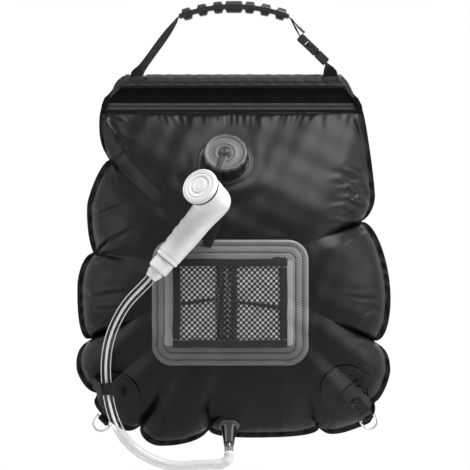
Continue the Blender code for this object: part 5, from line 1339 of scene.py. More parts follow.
def rod_eye(name, side):
    middle = ROD_CENTRE + X_AXIS * side * STRAP_PLACE
    return eye_strap(name, middle, Y_AXIS, Z_AXIS, ROD_EYE, X_AXIS, ROD_EYE_WIDTH)


def bar_eye(name, bar):
    return eye_strap(name, bar, BUCKLE_DOWN, BUCKLE_DOWN.cross(Y_AXIS), BAR_EYE, Y_AXIS, WEB_WIDTH)


def twisted(side, end, shares):
    """Stations of a strap that leaves the rod upwards and turns a quarter on its way to its end."""
    foot = ROD_CENTRE + Vector((side * STRAP_PLACE, 0, ROD_EYE))
    foot_across = X_AXIS * -side
    found = [(foot, foot_across)]
    start = foot + Z_AXIS * TWISTS_FROM
    for step, share in enumerate(shares):
        found.append((start.lerp(end, step / (len(shares) - 1)), foot_across.lerp(Y_AXIS, share)))
    return found


grip_right = on_grip(GRIP_ANGLE)
stations = twisted(-1, on_grip(-GRIP_ANGLE), LONG_TURNS)[:-1]
stations += [(on_grip(GRIP_ANGLE * (step / 5 - 1)), Y_AXIS) for step in range(11)]
stations.append((grip_right.lerp(SOCKET_BAR, 0.5), Y_AXIS + Z_AXIS * 0.22))
stations.append((SOCKET_BAR - BUCKLE_DOWN * BAR_EYE, Y_AXIS))
long_strap = [strap("long_strap", stations, WEB_WIDTH, WEB_THICK, 150)]
long_strap += [rod_eye("left_eye", -1), bar_eye("socket_eye", SOCKET_BAR)]
piece(joined("long_strap", long_strap), WEBBING, "webbing", "handle", "handle_webbing")
run = (SOCKET_BAR - grip_right).normalized()
tail_out = Y_AXIS.cross(run)
tail_length = (SOCKET_BAR - grip_right).length
stations = []
for share, lift, tilt in TAIL_STATIONS:
    place = grip_right + run * tail_length * share - tail_out * lift / 1000
    stations.append((place, Y_AXIS + Z_AXIS * tilt))
tail = strap("folded_tail", stations, WEB_WIDTH, WEB_THICK, 40)
piece(tail, WEBBING, "webbing", "handle", "webbing_tail")
stations = twisted(1, PLUG_BAR + BUCKLE_DOWN * BAR_EYE, SHORT_TURNS)[::-1]
short_strap = [strap("short_strap", stations, WEB_WIDTH, WEB_THICK, 40)]
short_strap += [bar_eye("plug_eye", PLUG_BAR), rod_eye("right_eye", 1)]
piece(joined("short_strap", short_strap), WEBBING, "webbing", "handle", "plug_webbing")
tail_seams = []
for share in TAIL_SEAM_SHARES:
    start = grip_right + run * (tail_length * share)
    line = [start + Y_AXIS * across - tail_out * 0.0008 for across in np.linspace(-0.009, 0.009, 12)]
    tail_seams.append(stitches(f"tail_seam_{share}", line, [-tail_out] * 12))
piece(joined("tail_seams", tail_seams), THREAD, "webbing", "handle")
print("from grip to buckle, mm:", round(1000 * tail_length, 1))

# %% [markdown]
# ## Buckle
#
# The buckle's CAD solids already have its slots, windows and prongs. They only need what a mould adds:
# rounded edges and a fine grain. So the solids stay, with a bevel that leaves their meshes alone.

# %% Buckle
# Edges sharper than this are rounded
BEVEL_ANGLE = math.radians(32)


def softened(name, finish, width):
    """Rounds a CAD node's edges and gives it a finish."""
    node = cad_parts[name]
    weld = node.modifiers.new("weld", "WELD")
    weld.merge_threshold = 0.00001
    bevel = node.modifiers.new("bevel", "BEVEL")
    bevel.width = width
    bevel.segments = 3
    bevel.limit_method = "ANGLE"
    bevel.angle_limit = BEVEL_ANGLE
    bevel.harden_normals = True
    node.data.materials.clear()
    node.data.materials.append(finish)


for name, width in (("socket", 0.0005), ("plug", 0.0005), ("prong_front", 0.0003), ("prong_back", 0.0003)):
    softened(f"buckle_{name}", BLACK_PLASTIC, width)

# %% [markdown]
# ## Filler and cap
#
# The filler is a flanged neck welded to the cloth, and its cap has twelve finger lobes, a raised rim and a
# shallow face. All are turned pieces. Only the cap isn't round, so its radius swells and shrinks with the
# angle as it is turned. A strap keeps the cap with the bag: it is held by a rivet on the cap and by a weld
# on the flange.

# %% Filler neck
neck_profile = [
    (0.0170, 0.0156),
    (0.0205, 0.0156),
    (0.0205, 0.0126),
    (0.0198, 0.0122),
    (0.0198, 0.0104),
    (0.0205, 0.0100),
    (0.0205, 0.0070),
    (0.0198, 0.0066),
    (0.0198, 0.0048),
    (0.0205, 0.0044),
    (0.0207, 0.0022),
    (0.0226, 0.0017),
    (0.0262, 0.0016),
    (0.0266, 0.0022),
    (0.0272, 0.0022),
    (0.0276, 0.0016),
    (0.0292, 0.0016),
    (0.0298, 0.0022),
    (0.0304, 0.0022),
    (0.0309, 0.0016),
    (0.0322, 0.0016),
    (0.0328, 0.0022),
    (0.0334, 0.0021),
    (0.0350, 0.0010),
    (0.0350, -0.0006),
    (0.0180, -0.0006),
    (0.0180, -0.0400),
    (0.0000, -0.0400),
    (0.0000, -0.0390),
    (0.0170, -0.0390),
]
neck = turned("filler_flange", neck_profile, FILLER_FRAME, steps=96, soften=0.0003, closed=True)
piece(neck, BLACK_PLASTIC, "black_plastic", "bag", "filler_neck")
print("filler neck faces:", len(neck.polygons))

# %% Cap, gasket and rivet
# Below this the cap's skirt takes a darker copy of its plastic, painted shade
CAP_SHOULDER = 0.0199


def finger_lobes(angle, radius, height):
    """Twelve lobes round the skirt, which fade out before the face."""
    hold = float(eased_step((radius - 0.0262) / 0.0012))
    return 1 - hold * 0.050 * (1 - abs(math.cos(6 * angle)) ** 0.7)


cap_profile = [
    (0.0034, 0.0211),
    (0.0062, 0.0211),
    (0.0066, 0.0205),
    (0.0118, 0.0205),
    (0.0122, 0.0209),
    (0.0130, 0.0209),
    (0.0134, 0.0204),
    (0.0222, 0.0202),
    (0.0230, 0.0210),
    (0.0256, 0.0212),
    (0.0272, 0.0202),
    (0.0284, 0.0180),
    (0.0285, 0.0150),
    (0.0285, 0.0045),
    (0.0282, 0.0028),
    (0.0240, 0.0028),
    (0.0240, 0.0182),
    (0.0034, 0.0182),
]
cap_mesh = turned("lobed_cap", cap_profile, FILLER_FRAME, steps=288, closed=True, swell=finger_lobes)
cap_piece = piece(cap_mesh, CAP_PLASTIC, "cap_plastic", "cap", "filler_cap", angle=35)
# The skirt below the shoulder takes the painted shade
cap_piece.data.materials.append(CAP_SHADED_SKIRT)
for face in cap_piece.data.polygons:
    if (FILLER_FRAME.inverted() @ face.center).z < CAP_SHOULDER:
        face.material_index = 1
print("cap faces:", len(cap_piece.data.polygons))
gasket_profile = washer(0.0142, 0.0235, 0.0160, 0.0019)
gasket = turned("cap_seal", gasket_profile, FILLER_FRAME, soften=0.0005, closed=True)
piece(gasket, SEAL_RUBBER, "seal_rubber", "cap", "cap_gasket")
rivet_profile = [
    (0.0000, 0.0244),
    (0.0030, 0.0243),
    (0.0035, 0.0240),
    (0.0041, 0.0240),
    (0.0046, 0.0243),
    (0.0052, 0.0242),
    (0.0055, 0.0237),
    (0.0055, 0.0230),
    (0.0028, 0.0229),
    (0.0028, 0.0178),
    (0.0050, 0.0178),
    (0.0050, 0.0170),
    (0.0000, 0.0169),
]
rivet = turned("rivet", rivet_profile, FILLER_FRAME, steps=48, soften=0.0004)
piece(rivet, BLACK_PLASTIC, "black_plastic", "cap_post", "cap_rivet")

# %% Cap strap
TETHER_TURN = math.radians(-107)
TETHER_STEPS = 60
# Places from the rivet outwards, and above the cloth
TETHER_LINE = (
    *((0.0045, 0.0221), (0.0140, 0.0221), (0.0230, 0.0221), (0.0284, 0.0217)),
    *((0.0303, 0.0197), (0.0315, 0.0115), (0.0350, 0.0042), (0.0430, 0.0030)),
)
tether_out = Vector((math.cos(TETHER_TURN), math.sin(TETHER_TURN), 0))
tether_across = FILLER_FRAME.to_3x3() @ Vector((-math.sin(TETHER_TURN), math.cos(TETHER_TURN), 0))


def on_tether(reach, height):
    return FILLER_FRAME @ (tether_out * reach + Z_AXIS * height)


stations = [(on_tether(reach, height), tether_across) for reach, height in TETHER_LINE]
widths = [0.0092 + 0.0012 * math.cos(share * 4.2) ** 2 for share in np.linspace(0, 1, TETHER_STEPS)]
tether = strap("cap_strap", stations, widths, 0.0012, TETHER_STEPS)
eye_profile = [(0.0033, 0.0230), (0.0076, 0.0230), (0.0080, 0.0226), (0.0080, 0.0215), (0.0033, 0.0215)]
tether_eye = turned("cap_strap_eye", eye_profile, FILLER_FRAME, steps=40, soften=0.0003, closed=True)
tether_mesh = joined("cap_strap", [tether, tether_eye])
tether_piece = piece(tether_mesh, BLACK_PLASTIC, "black_plastic", None, "cap_tether")
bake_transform(tether_piece)
print("cap strap faces:", len(tether_piece.data.polygons))

# %% [markdown]
# ## Hand shower
#
# The shower head is one white moulding: a slightly tapered handle with finger waves on its back, and
# a short barrel that leaves it at an angle. Two turned bodies are joined by remeshing them into one
# skin and smoothing it, which rounds the inner corner as a mould does. Its dark seal, face ring,
# stepped face, valve collar and hose nut are turned too, each on its own axis so that it can turn.

# %% Head shell
JOINT_RADIUS = 0.0198


def finger_waves(angle, radius, height):
    """Four shallow waves for the fingers, on the handle's upper left."""
    facing = max(0.0, math.cos(angle + math.pi / 2)) ** 1.5
    along = float(eased_step((height - 0.030) / 0.010) * eased_step((0.086 - height) / 0.008))
    wave = 0.5 - 0.5 * math.cos((height - 0.030) * math.tau / 0.0138)
    return 1 - 0.060 * facing * along * wave


def ball_end(steps=7):
    """The round end that handle and barrel share, from its rim down to its pole."""
    angles = [math.pi / 2 * step / steps for step in range(1, steps + 1)]
    return [(JOINT_RADIUS * math.cos(angle), -JOINT_RADIUS * math.sin(angle)) for angle in angles]


handle_profile = [(0.0, 0.0942), (0.0133, 0.0942), (0.0155, 0.0936), (0.0155, 0.0905)]
handle_profile += [(0.0148, 0.0897), (0.0148, 0.0885), (0.0157, 0.0876)]
for step in range(28):
    height = 0.086 - 0.086 * step / 27
    grown = 0.0172 + (0.0157 - 0.0172) * float(eased_step((height - 0.050) / 0.036))
    grown += (JOINT_RADIUS - 0.0172) * float(eased_step((0.033 - height) / 0.033))
    handle_profile.append((grown, height))
handle_profile += ball_end()
handle_mesh = turned("handle_body", handle_profile, HANDLE_FRAME, steps=96, soften=0, swell=finger_waves)
barrel_profile = [(0.0, 0.0334), (0.0205, 0.0334), (0.0213, 0.0326), (0.0213, 0.0290), (0.0209, 0.0200)]
barrel_profile += [(0.0202, 0.0100), (JOINT_RADIUS, 0.0)] + ball_end()
barrel_mesh = turned("barrel_body", barrel_profile, HEAD_FRAME, steps=96, soften=0)
shell_mesh = modified(
    joined("hand_shower", [handle_mesh, barrel_mesh]),
    ("REMESH", {"mode": "VOXEL", "voxel_size": 0.0007}),
    ("SMOOTH", {"factor": 0.6, "iterations": 6}),
)
shell_mesh.uv_layers.new(name="cloth")
shell = piece(shell_mesh, WHITE_PLASTIC, "white_plastic", "shower_head", "head_shell", angle=60)
print("shell faces:", len(shell.data.polygons))

# %% Seal, face ring and face
NOZZLE_RUBBER = moulded("nozzle_rubber", (0.30, 0.30, 0.31), 0.45, 0.0008, 0.00002, 0.4)
NOZZLE_PROFILE = [(0.0, 0.00035), (0.00042, 0.0003), (0.00055, -0.0003), (0.0, -0.0004)]
# Circles of nozzles: radius, how many, and the face's height there
NOZZLE_CIRCLES = ((0.0044, 8, 0.0437), (0.0108, 18, 0.0429), (0.0144, 24, 0.0437), (0.0189, 34, 0.0437))


def ribs(count, deep, outside, fade, top=1.0, sharp=1):
    """A swell that cuts even ribs into a piece, outside a radius and below a height."""

    def swell(angle, radius, height):
        hold = float(eased_step((radius - outside) / fade) * eased_step((top - height) / 0.001))
        return 1 - hold * deep * (0.5 - 0.5 * math.cos(count * angle)) ** sharp

    return swell


seal_profile = [
    *((0.0220, 0.0370), (0.0223, 0.0362), (0.0222, 0.0338), (0.0214, 0.0329)),
    *((0.0169, 0.0329), (0.0169, 0.0370)),
]
seal = turned("head_seal", seal_profile, HEAD_FRAME, soften=0.0004, closed=True)
piece(seal, SEAL_RUBBER, "seal_rubber", "shower_head", "face_seal")
bezel_profile = [
    (0.0210, 0.0438),
    (0.0216, 0.0438),
    (0.0228, 0.0430),
    (0.0232, 0.0418),
    (0.0230, 0.0408),
    (0.0232, 0.0402),
    (0.0232, 0.0386),
    (0.0224, 0.0371),
    (0.0188, 0.0371),
    (0.0188, 0.0405),
    (0.0210, 0.0405),
]
knurl = ribs(40, 0.012, 0.0226, 0.0004, 0.0402)
bezel = turned("head_ring", bezel_profile, HEAD_FRAME, steps=240, soften=0.0004, closed=True, swell=knurl)
piece(bezel, WHITE_PLASTIC, "white_plastic", "spray_ring", "face_bezel", angle=35)
face_profile = [
    (0.0000, 0.0436),
    (0.0040, 0.0437),
    (0.0062, 0.0437),
    (0.0066, 0.0432),
    (0.0071, 0.0437),
    (0.0086, 0.0437),
    (0.0092, 0.0429),
    (0.0124, 0.0429),
    (0.0130, 0.0436),
    (0.0158, 0.0437),
    (0.0163, 0.0431),
    (0.0169, 0.0431),
    (0.0174, 0.0437),
    (0.0205, 0.0437),
    (0.0207, 0.0434),
    (0.0207, 0.0408),
    (0.0000, 0.0408),
]
face = turned("head_face", face_profile, HEAD_FRAME, steps=120, soften=0.0004)
piece(face, FACE_PLASTIC, "white_plastic", "spray_ring", "spray_face", angle=35)
nozzles = []
for radius, count, height in NOZZLE_CIRCLES:
    for step, angle in enumerate(turns(count, 0.5 * (count % 4 == 2))):
        spot = HEAD_FRAME @ Matrix.Translation((radius * math.cos(angle), radius * math.sin(angle), height))
        nozzles.append(turned(f"nozzle_{radius}_{step}", NOZZLE_PROFILE, spot, steps=8, soften=0))
print("nozzles:", len(nozzles))
piece(joined("head_nozzles", nozzles), NOZZLE_RUBBER, "seal_rubber", "spray_ring")

# %% Valve collar, stem, seat and hose nut
TICK_TURN = math.radians(-150)
TICK_PLACE = (0.0131, 0, 0.1030)
TICK_HALF = 0.0034
collar_profile = [
    (0.0034, 0.1112),
    (0.0118, 0.1112),
    (0.0127, 0.1104),
    (0.0133, 0.1088),
    (0.0133, 0.0958),
    (0.0129, 0.0949),
    (0.0089, 0.0949),
    (0.0089, 0.1030),
    (0.0034, 0.1030),
]
flutes = ribs(24, 0.020, 0.0124, 0.0004, 0.1085, 2)
collar = turned("head_collar", collar_profile, HANDLE_FRAME, steps=192, closed=True, swell=flutes)
tick_frame = HANDLE_FRAME @ Matrix.Rotation(TICK_TURN, 4, "Z") @ Matrix.Translation(TICK_PLACE)
tick_line = [Vector((0.0003, 0, up)) for up in (-TICK_HALF, 0.0, TICK_HALF)]
tick = placed(wire("collar_tick", spaced(tick_line, 9), 0.0006, 12), tick_frame)
collar_mesh = joined("head_collar", [collar, tick])
piece(collar_mesh, WHITE_PLASTIC, "white_plastic", "valve", "valve_collar", angle=35)
nut_profile = [
    (0.0, 0.1233),
    (0.0070, 0.1233),
    (0.0077, 0.1226),
    (0.0079, 0.1205),
    (0.0098, 0.1166),
    (0.0100, 0.1160),
    (0.0100, 0.1117),
    (0.0, 0.1117),
]
flats = ribs(12, 0.03, 0.0085, 0.0008)
nut = turned("hose_cap_nut", nut_profile, HANDLE_FRAME, steps=120, swell=flats)
piece(nut, WHITE_PLASTIC, "white_plastic", "shower_head", "hose_nut", angle=35)
softened("valve_stem", BLACK_PLASTIC, 0.0003)
softened("valve_seat", WHITE_PLASTIC, 0.0003)
print("collar faces:", len(collar_mesh.polygons), "nut faces:", len(nut.polygons))

# %% Strap behind the elbow
HOLDER_WIDTH = 0.012
HOLDER_LIFT = 0.0038
# How far out the strap stands where the head rests on it
HOLDER_OUT = -0.08065
holder_foot = Vector((-0.0338, 0, -0.2915))
holder_top = Vector((-0.0135, 0, -0.2470))
holder_across = Vector((holder_top.z - holder_foot.z, 0, holder_foot.x - holder_top.x)).normalized()
stations = []
for step in range(7):
    along = step / 6
    spot = holder_foot.lerp(holder_top, along)
    close = on_bag(spot.x, spot.z, HOLDER_LIFT)
    close.y += (HOLDER_OUT - close.y) * float(eased_step(along * 2 - 1))
    stations.append((close, holder_across))
holder = strap("elbow_strap", stations, HOLDER_WIDTH, WEB_THICK, 50)
piece(holder, WEBBING, "webbing", "bag", "head_holder_strap")
print("strap behind the elbow from", [round(1000 * part, 1) for part in stations[0][0]])

# %% [markdown]
# ## Pocket
#
# A grey patch with two lines of stitching is welded to the front. On it lies a pale panel under a
# black net, bound on all four sides with tape. The net is knitted, so its holes are round and stand
# in rows that are offset by half a hole. Each hole is a small ring of faces inside a diamond, and the
# diamonds fill the pocket. A pleat and two folds of the net lie double, so they look darker.


# %% Flat cloth laid on the bag
def inside_box(x, z, width, height, corner):
    """How far inside a rounded box each place lies."""
    over_x = np.abs(x) - (width / 2 - corner)
    over_z = np.abs(z) - (height / 2 - corner)
    outside = np.hypot(np.maximum(over_x, 0), np.maximum(over_z, 0))
    return corner - outside - np.minimum(np.maximum(over_x, over_z), 0)


def box_line(width, height, corner, count):
    """Places at an even pitch along a rounded box, as offsets from its middle."""
    places = []
    for turned_by, side_x, side_z in ((0, 1, 1), (1, -1, 1), (2, -1, -1), (3, 1, -1)):
        for step in range(9):
            angle = math.pi / 2 * (turned_by + step / 8)
            middle = (side_x * (width / 2 - corner), side_z * (height / 2 - corner))
            places.append((middle[0] + corner * math.cos(angle), middle[1] + corner * math.sin(angle)))
    knots = np.array(places + places[:1])
    gone = np.concatenate([[0], np.cumsum(np.hypot(*np.diff(knots, axis=0).T))])
    wanted = np.linspace(0, gone[-1], count, endpoint=False)
    return np.stack([np.interp(wanted, gone, knots[:, 0]), np.interp(wanted, gone, knots[:, 1])], axis=1)


def laid_sheet(name, middle, line, low, thick, rings=20, puff=None):
    """A sheet with some thickness on the bag's front, in rings from its middle to its edge."""
    shares = 1 - (1 - np.linspace(0.02, 1, rings)) ** 1.4
    x = middle[0] + np.outer(shares, line[:, 0])
    z = middle[1] + np.outer(shares, line[:, 1])
    rise = puff(x - middle[0], z - middle[1]) if puff else np.zeros(x.shape)
    rim = np.where(shares > 0.999, 0.7, 1.0)[:, None]
    top = raised(x, z, low + thick * rim + rise)
    foot = raised(x, z, low)
    rows = np.concatenate([top, foot[::-1]])
    return tidied(lofted(name, rows, flat=rows[:, :, (0, 2)]))


PATCH_SEAM_INSETS = (0.0069, 0.0156)
PATCH_STITCH = (0.0034, 0.0008, 0.00055)


def patch_puff(x, z):
    """The patch rises between its stitch lines, and its edge is pressed flat."""
    deep = inside_box(x, z, *PATCH_SIZE)
    rise = 0.0003 * eased_step(deep / 0.004) + 0.0007 * np.exp(-(((deep - 0.0026) / 0.0013) ** 2))
    for inset in PATCH_SEAM_INSETS:
        rise = rise - 0.0007 * np.exp(-(((deep - inset) / 0.0014) ** 2))
    ripple = 0.00018 * np.sin(x * 140 + 2 * np.sin(z * 60)) * np.sin(z * 120 + x * 30)
    return rise + ripple


patch_line = box_line(*PATCH_SIZE, 320)
patch_mesh = laid_sheet("patch", PATCH_MIDDLE, patch_line, 0.0012, 0.0009, 64, patch_puff)
patch = piece(patch_mesh, PATCH_CLOTH, "grey_patch", "bag", "pocket_patch")
seams = []
for inset in PATCH_SEAM_INSETS:
    seam_line = box_line(PATCH_SIZE[0] - 2 * inset, PATCH_SIZE[1] - 2 * inset, PATCH_SIZE[2] - inset, 400)
    seam_line = np.concatenate([seam_line, seam_line[:1]]) + PATCH_MIDDLE
    low = raised(seam_line[:, 0], seam_line[:, 1], 0.0021)
    outs = (raised(seam_line[:, 0], seam_line[:, 1], 0.0031) - low) / 0.001
    seams.append(stitches(f"patch_seam_{inset}", low, outs, *PATCH_STITCH))
patch_seams = piece(joined("patch_seams", seams), THREAD, "grey_patch", "bag")

# %% Backing and pale panel
POCKET_MIDDLE = (-0.0046, -0.3617)
BACKING_MIDDLE = (-0.0066, -0.3617)
BACKING_SIZE = (0.158, 0.1050)
PANEL_SIZE = (0.1270, 0.0950)
SHEET_CORNER = 0.002
BACKING_CLOTH = coated_cloth(
    "backing_cloth", (0.22, 0.22, 0.225), (0.36, 0.36, 0.365), (0.0014, 0.0014), 0.45, 0.4, contrast=0.35
)
backing_line = box_line(*BACKING_SIZE, SHEET_CORNER, 200)
backing_mesh = laid_sheet("backing", BACKING_MIDDLE, backing_line, 0.0023, 0.0004)
backing = piece(backing_mesh, BACKING_CLOTH, "grey_patch", "bag")


def panel_puff(x, z):
    return 0.00015 * np.sin(x * 210 + 30 * z) * np.sin(z * 170 - 20 * x)


panel_line = box_line(*PANEL_SIZE, SHEET_CORNER, 200)
panel_mesh = laid_sheet("pale_panel", POCKET_MIDDLE, panel_line, 0.0028, 0.0002, 24, panel_puff)
panel = piece(panel_mesh, PANEL_CLOTH, "grey_patch", "bag")
print("panel, mm:", [round(1000 * side, 1) for side in PANEL_SIZE])

# %% Net
HOLE_SIDES = 16
NET_PITCH = (0.00670, 0.00680)
NET_HOLE = 0.00184
NET_LEFT, NET_RIGHT, NET_FOOT, NET_TOP = -0.0685, 0.0593, -0.4096, -0.3138
PLEAT_FOOT, PLEAT_TOP, PLEAT_THICK = -0.4085, -0.3145, 0.0005
# Each layer of the pleat: its left and right, its height over the bag, its pitch and its holes
PLEATS = (
    ("left", -0.0226, -0.0110, 0.0041, (0.0046, 0.0062), 0.0010),
    ("middle", -0.0112, -0.0060, 0.0044, (0.0052, 0.0064), 0.0014),
    ("right", -0.0062, 0.0052, 0.0041, (0.0046, 0.0062), 0.0009),
)
FOLD_STEPS = 40


def between(start, end, share):
    """A place on the way from one place across and up to another."""
    return start[0] + (end[0] - start[0]) * share, start[1] + (end[1] - start[1]) * share


def headed(start, end):
    """The way from one place across and up to another, and the way at a right angle to it."""
    run = Vector((end[0] - start[0], 0, end[1] - start[1])).normalized()
    return run, Vector((-run.z, 0, run.x))


def net_mesh(name, left, right, foot, top, low, thick, pitch, hole, lean=0.0, squeeze=1.0):
    """Cloth with round holes in offset rows. lean skews the rows, and squeeze narrows the holes."""
    wide, high = pitch
    corners = []
    faces = []
    columns = int((right - left) / wide + 0.5)
    lines = int(2 * (top - foot) / high + 0.5) - 1
    step_x = (right - left) / columns
    step_z = (top - foot) / (lines + 1)
    for line in range(lines):
        shift = 0.5 if line % 2 == 0 else 1.0
        for column in range(columns if line % 2 == 0 else columns - 1):
            x = left + step_x * (column + shift)
            z = foot + step_z * (line + 1)
            first = len(corners)
            for angle in turns(HOLE_SIDES):
                reach = 1 / (abs(math.cos(angle)) + abs(math.sin(angle)))
                edge_x = x + step_x / 2 * reach * math.cos(angle)
                edge_z = z + step_z * reach * math.sin(angle)
                corners.append((edge_x, edge_z, (angle / (math.pi / 2)) % 1.0))
            for angle in turns(HOLE_SIDES):
                over = hole * squeeze * math.cos(angle)
                corners.append((x + over, z + hole * math.sin(angle) + lean * over, 0.5))
            for step in range(HOLE_SIDES):
                beside = (step + 1) % HOLE_SIDES
                inner = first + HOLE_SIDES
                faces.append((first + step, first + beside, inner + beside, inner + step))
    table = np.array(corners)
    knot = 0.00018 * np.abs(np.cos(table[:, 2] * math.pi))
    sag = 0.00012 * np.sin(table[:, 0] * 160) * np.sin(table[:, 1] * 190)
    points = raised(table[:, 0], table[:, 1], low + thick + knot + sag)
    mesh = bpy.data.meshes.new(name)
    mesh.from_pydata([tuple(point) for point in points], [], faces)
    drawn_flat(mesh, table[:, :2])
    mesh = tidied(mesh, 0.00002)
    if sum(face.normal.y for face in mesh.polygons) > 0:
        mesh.flip_normals()
    return modified(mesh, ("SOLIDIFY", {"thickness": thick, "offset": -1}))


def net_fold(name, start, end, wider):
    """A narrow fold laid over the net, whose width grows to one end."""
    across = headed(start, end)[1]
    stations = [(on_bag(*between(start, end, step / 8), 0.0046), across) for step in range(9)]
    shares = np.linspace(*wider, FOLD_STEPS)
    return strap(name, stations, [0.0028 + 0.0022 * share for share in shares], 0.0008, FOLD_STEPS)


net_layer = net_mesh("net", NET_LEFT, NET_RIGHT, NET_FOOT, NET_TOP, 0.0032, 0.0006, NET_PITCH, NET_HOLE)
net = piece(net_layer, NET_YARN, "dark_mesh", "bag", "pocket_net", angle=50)
pleat_layers = [
    net_mesh(f"pleat_{name}", left, right, PLEAT_FOOT, PLEAT_TOP, low, PLEAT_THICK, pitch, hole, 0.5, 0.8)
    for name, left, right, low, pitch, hole in PLEATS
]
pleat = piece(joined("net_pleat", pleat_layers), NET_YARN, "dark_mesh", "bag", "pocket_pleat", angle=50)
fold_straps = [
    net_fold("left_fold", (-0.0665, -0.3628), (-0.0230, -0.3565), (1, 0)),
    net_fold("right_fold", (0.0045, -0.3600), (0.0560, -0.3668), (0, 1)),
]
net_folds = piece(joined("net_folds", fold_straps), NET_YARN, "dark_mesh", "bag")
print("net faces:", len(net.data.polygons), "pleat faces:", len(pleat.data.polygons))

# %% Binding tapes
TAPE_WIDTH = 0.0094
TAPE_THICK = 0.0011
TAPE_LOW = 0.0047
TAPE_STITCH = (0.0026, 0.0008, 0.00026)
BOUND_SIZE = (0.1405, 0.109)
half_x = BOUND_SIZE[0] / 2
half_z = BOUND_SIZE[1] / 2
tape_left = POCKET_MIDDLE[0] - half_x + TAPE_WIDTH / 2
tape_right = POCKET_MIDDLE[0] + half_x - TAPE_WIDTH / 2
tape_foot = POCKET_MIDDLE[1] - half_z + TAPE_WIDTH / 2
tape_top = POCKET_MIDDLE[1] + half_z - TAPE_WIDTH / 2
tape_reach = half_z - TAPE_WIDTH - 0.0010


def laid_tape(name, start, end, thick=TAPE_THICK, width=TAPE_WIDTH):
    """A tape on the bag's front, and a row of stitches along each of its edges."""
    across = headed(start, end)[1]
    stations = []
    lines = ([], [])
    outs = []
    for step in range(25):
        share = step / 24
        x, z = between(start, end, share)
        bow = 0.0003 * math.sin(9 * share + start[0] * 90)
        place = on_bag(x + across.x * bow, z + across.z * bow, TAPE_LOW + thick / 2)
        stations.append((place, across))
        outs.append((on_bag(x, z, 0.002) - on_bag(x, z)).normalized())
        for side, line in zip((-1, 1), lines):
            aside = across * side * width * 0.36
            line.append(on_bag(x + aside.x, z + aside.z, TAPE_LOW + thick * 0.98))
    rows = [stitches(f"{name}_seam_{index}", line, outs, *TAPE_STITCH) for index, line in enumerate(lines)]
    return strap(name, stations, width, thick, 90), rows


tape_seams = []
for name, start, end in (
    ("top", (POCKET_MIDDLE[0] - half_x, tape_top), (POCKET_MIDDLE[0] + half_x, tape_top)),
    ("bottom", (POCKET_MIDDLE[0] - half_x, tape_foot), (POCKET_MIDDLE[0] + half_x, tape_foot)),
    ("left", (tape_left, POCKET_MIDDLE[1] - tape_reach), (tape_left, POCKET_MIDDLE[1] + tape_reach)),
    ("right", (tape_right, POCKET_MIDDLE[1] - tape_reach), (tape_right, POCKET_MIDDLE[1] + tape_reach)),
):
    mesh, rows = laid_tape(f"tape_{name}", start, end)
    piece(mesh, BINDING, "webbing", "bag", f"binding_{name}")
    tape_seams += rows
tape_end = laid_tape("tape_end", (0.0480, -0.3062), (0.0630, -0.3066), 0.0009, 0.0022)[0]
piece(tape_end, BINDING, "webbing", "bag")
piece(joined("tape_seams", tape_seams), THREAD, "webbing", "bag")

# %% [markdown]
# ## Lower corners
#
# Two round patches of cloth are welded on with rings of ridges. They carry a strap that holds the
# hose on the left, a plain strap on the right, and on each side a short folded tab with a wire ring
# for tying the bag down. Each ring is a D of wire that turns in its tab.

# %% Weld spots
# The ridges: shares of the spot's radius, and heights
SPOT_RIDGES = ((0.985, 0.0005), (0.90, 0.0007), (0.80, 0.0006), (0.69, 0.0005), (0.56, 0.0003))


def spot_rows(middle_x, middle_z):
    """A round patch with ridges, cut back where it would reach over the bag's seam."""
    angles = np.linspace(0, math.tau, 144, endpoint=False)
    reach = np.full(angles.shape, SPOT_RADIUS)
    for share in np.linspace(1, 0.5, 60)[::-1]:
        x = middle_x + SPOT_RADIUS * share * np.cos(angles)
        up = middle_z + SPOT_RADIUS * share * np.sin(angles) - CENTRE_Z
        inside = edge_reach(np.arctan2(up, x) % math.tau) - MARGIN - np.hypot(x, up)
        reach = np.where(inside < 0.0025, np.minimum(reach, SPOT_RADIUS * share), reach)
    shares = np.linspace(0.02, 1, 60)
    radius = np.outer(shares, reach)
    ridge = np.zeros(radius.shape)
    for place, high in SPOT_RIDGES:
        ridge += high * np.exp(-(((shares - place) / 0.022) ** 2))[:, None]
    ridge *= 1 + 0.25 * np.sin(angles * 7 + shares[:, None] * 9)
    x = middle_x + radius * np.cos(angles)
    z = middle_z + radius * np.sin(angles)
    return np.concatenate([raised(x, z, 0.0018 + ridge), raised(x, z, 0.0006)[::-1]])


for name, x, z in WELD_SPOTS:
    rows = spot_rows(x, z)
    spot_mesh = tidied(lofted(f"{name}_spot", rows, flat=rows[:, :, (0, 2)]))
    piece(spot_mesh, SPOT_CLOTH, "coated_fabric", "bag", f"{name}_weld_spot", angle=60)
    print(f"{name} spot faces:", len(spot_mesh.polygons))

# %% Straps of the corners
TAB_WIDTH = 0.015
TAB_THICK = 0.0014
SEAM_INSET = 0.0022
TAB_STITCH = (0.0026, 0.0008, 0.00028)
SIDE_START = (0.1300, -0.4825)
SIDE_END = (0.1680, -0.4530)
# Where the strap holds the hose, and the hose's way there
HELD_AT = Vector((-0.15769, -0.05119, -0.46785))
HELD_ALONG = Vector((-0.0030, -0.0030, 0.0254)).normalized()
HELD_ROUND = math.radians(66)


def sewn(name, start, end, width, lift):
    """A box of stitches with a cross in it, laid over a strap's end on the bag's front."""
    run, across = headed(start, end)
    side = across * (width / 2 - SEAM_INSET)
    first = Vector((start[0], 0, start[1])) + run * SEAM_INSET
    last = Vector((end[0], 0, end[1])) - run * SEAM_INSET
    box = [first - side, first + side, last + side, last - side, first - side, last + side]
    points = []
    for corner, after in zip(box, box[1:]):
        for step in range(8):
            spot = corner.lerp(after, step / 8)
            points.append(on_bag(spot.x, spot.z, lift))
    out = (on_bag(first.x, first.z, 0.002) - on_bag(first.x, first.z)).normalized()
    return stitches(name, points, [out] * len(points), *TAB_STITCH)


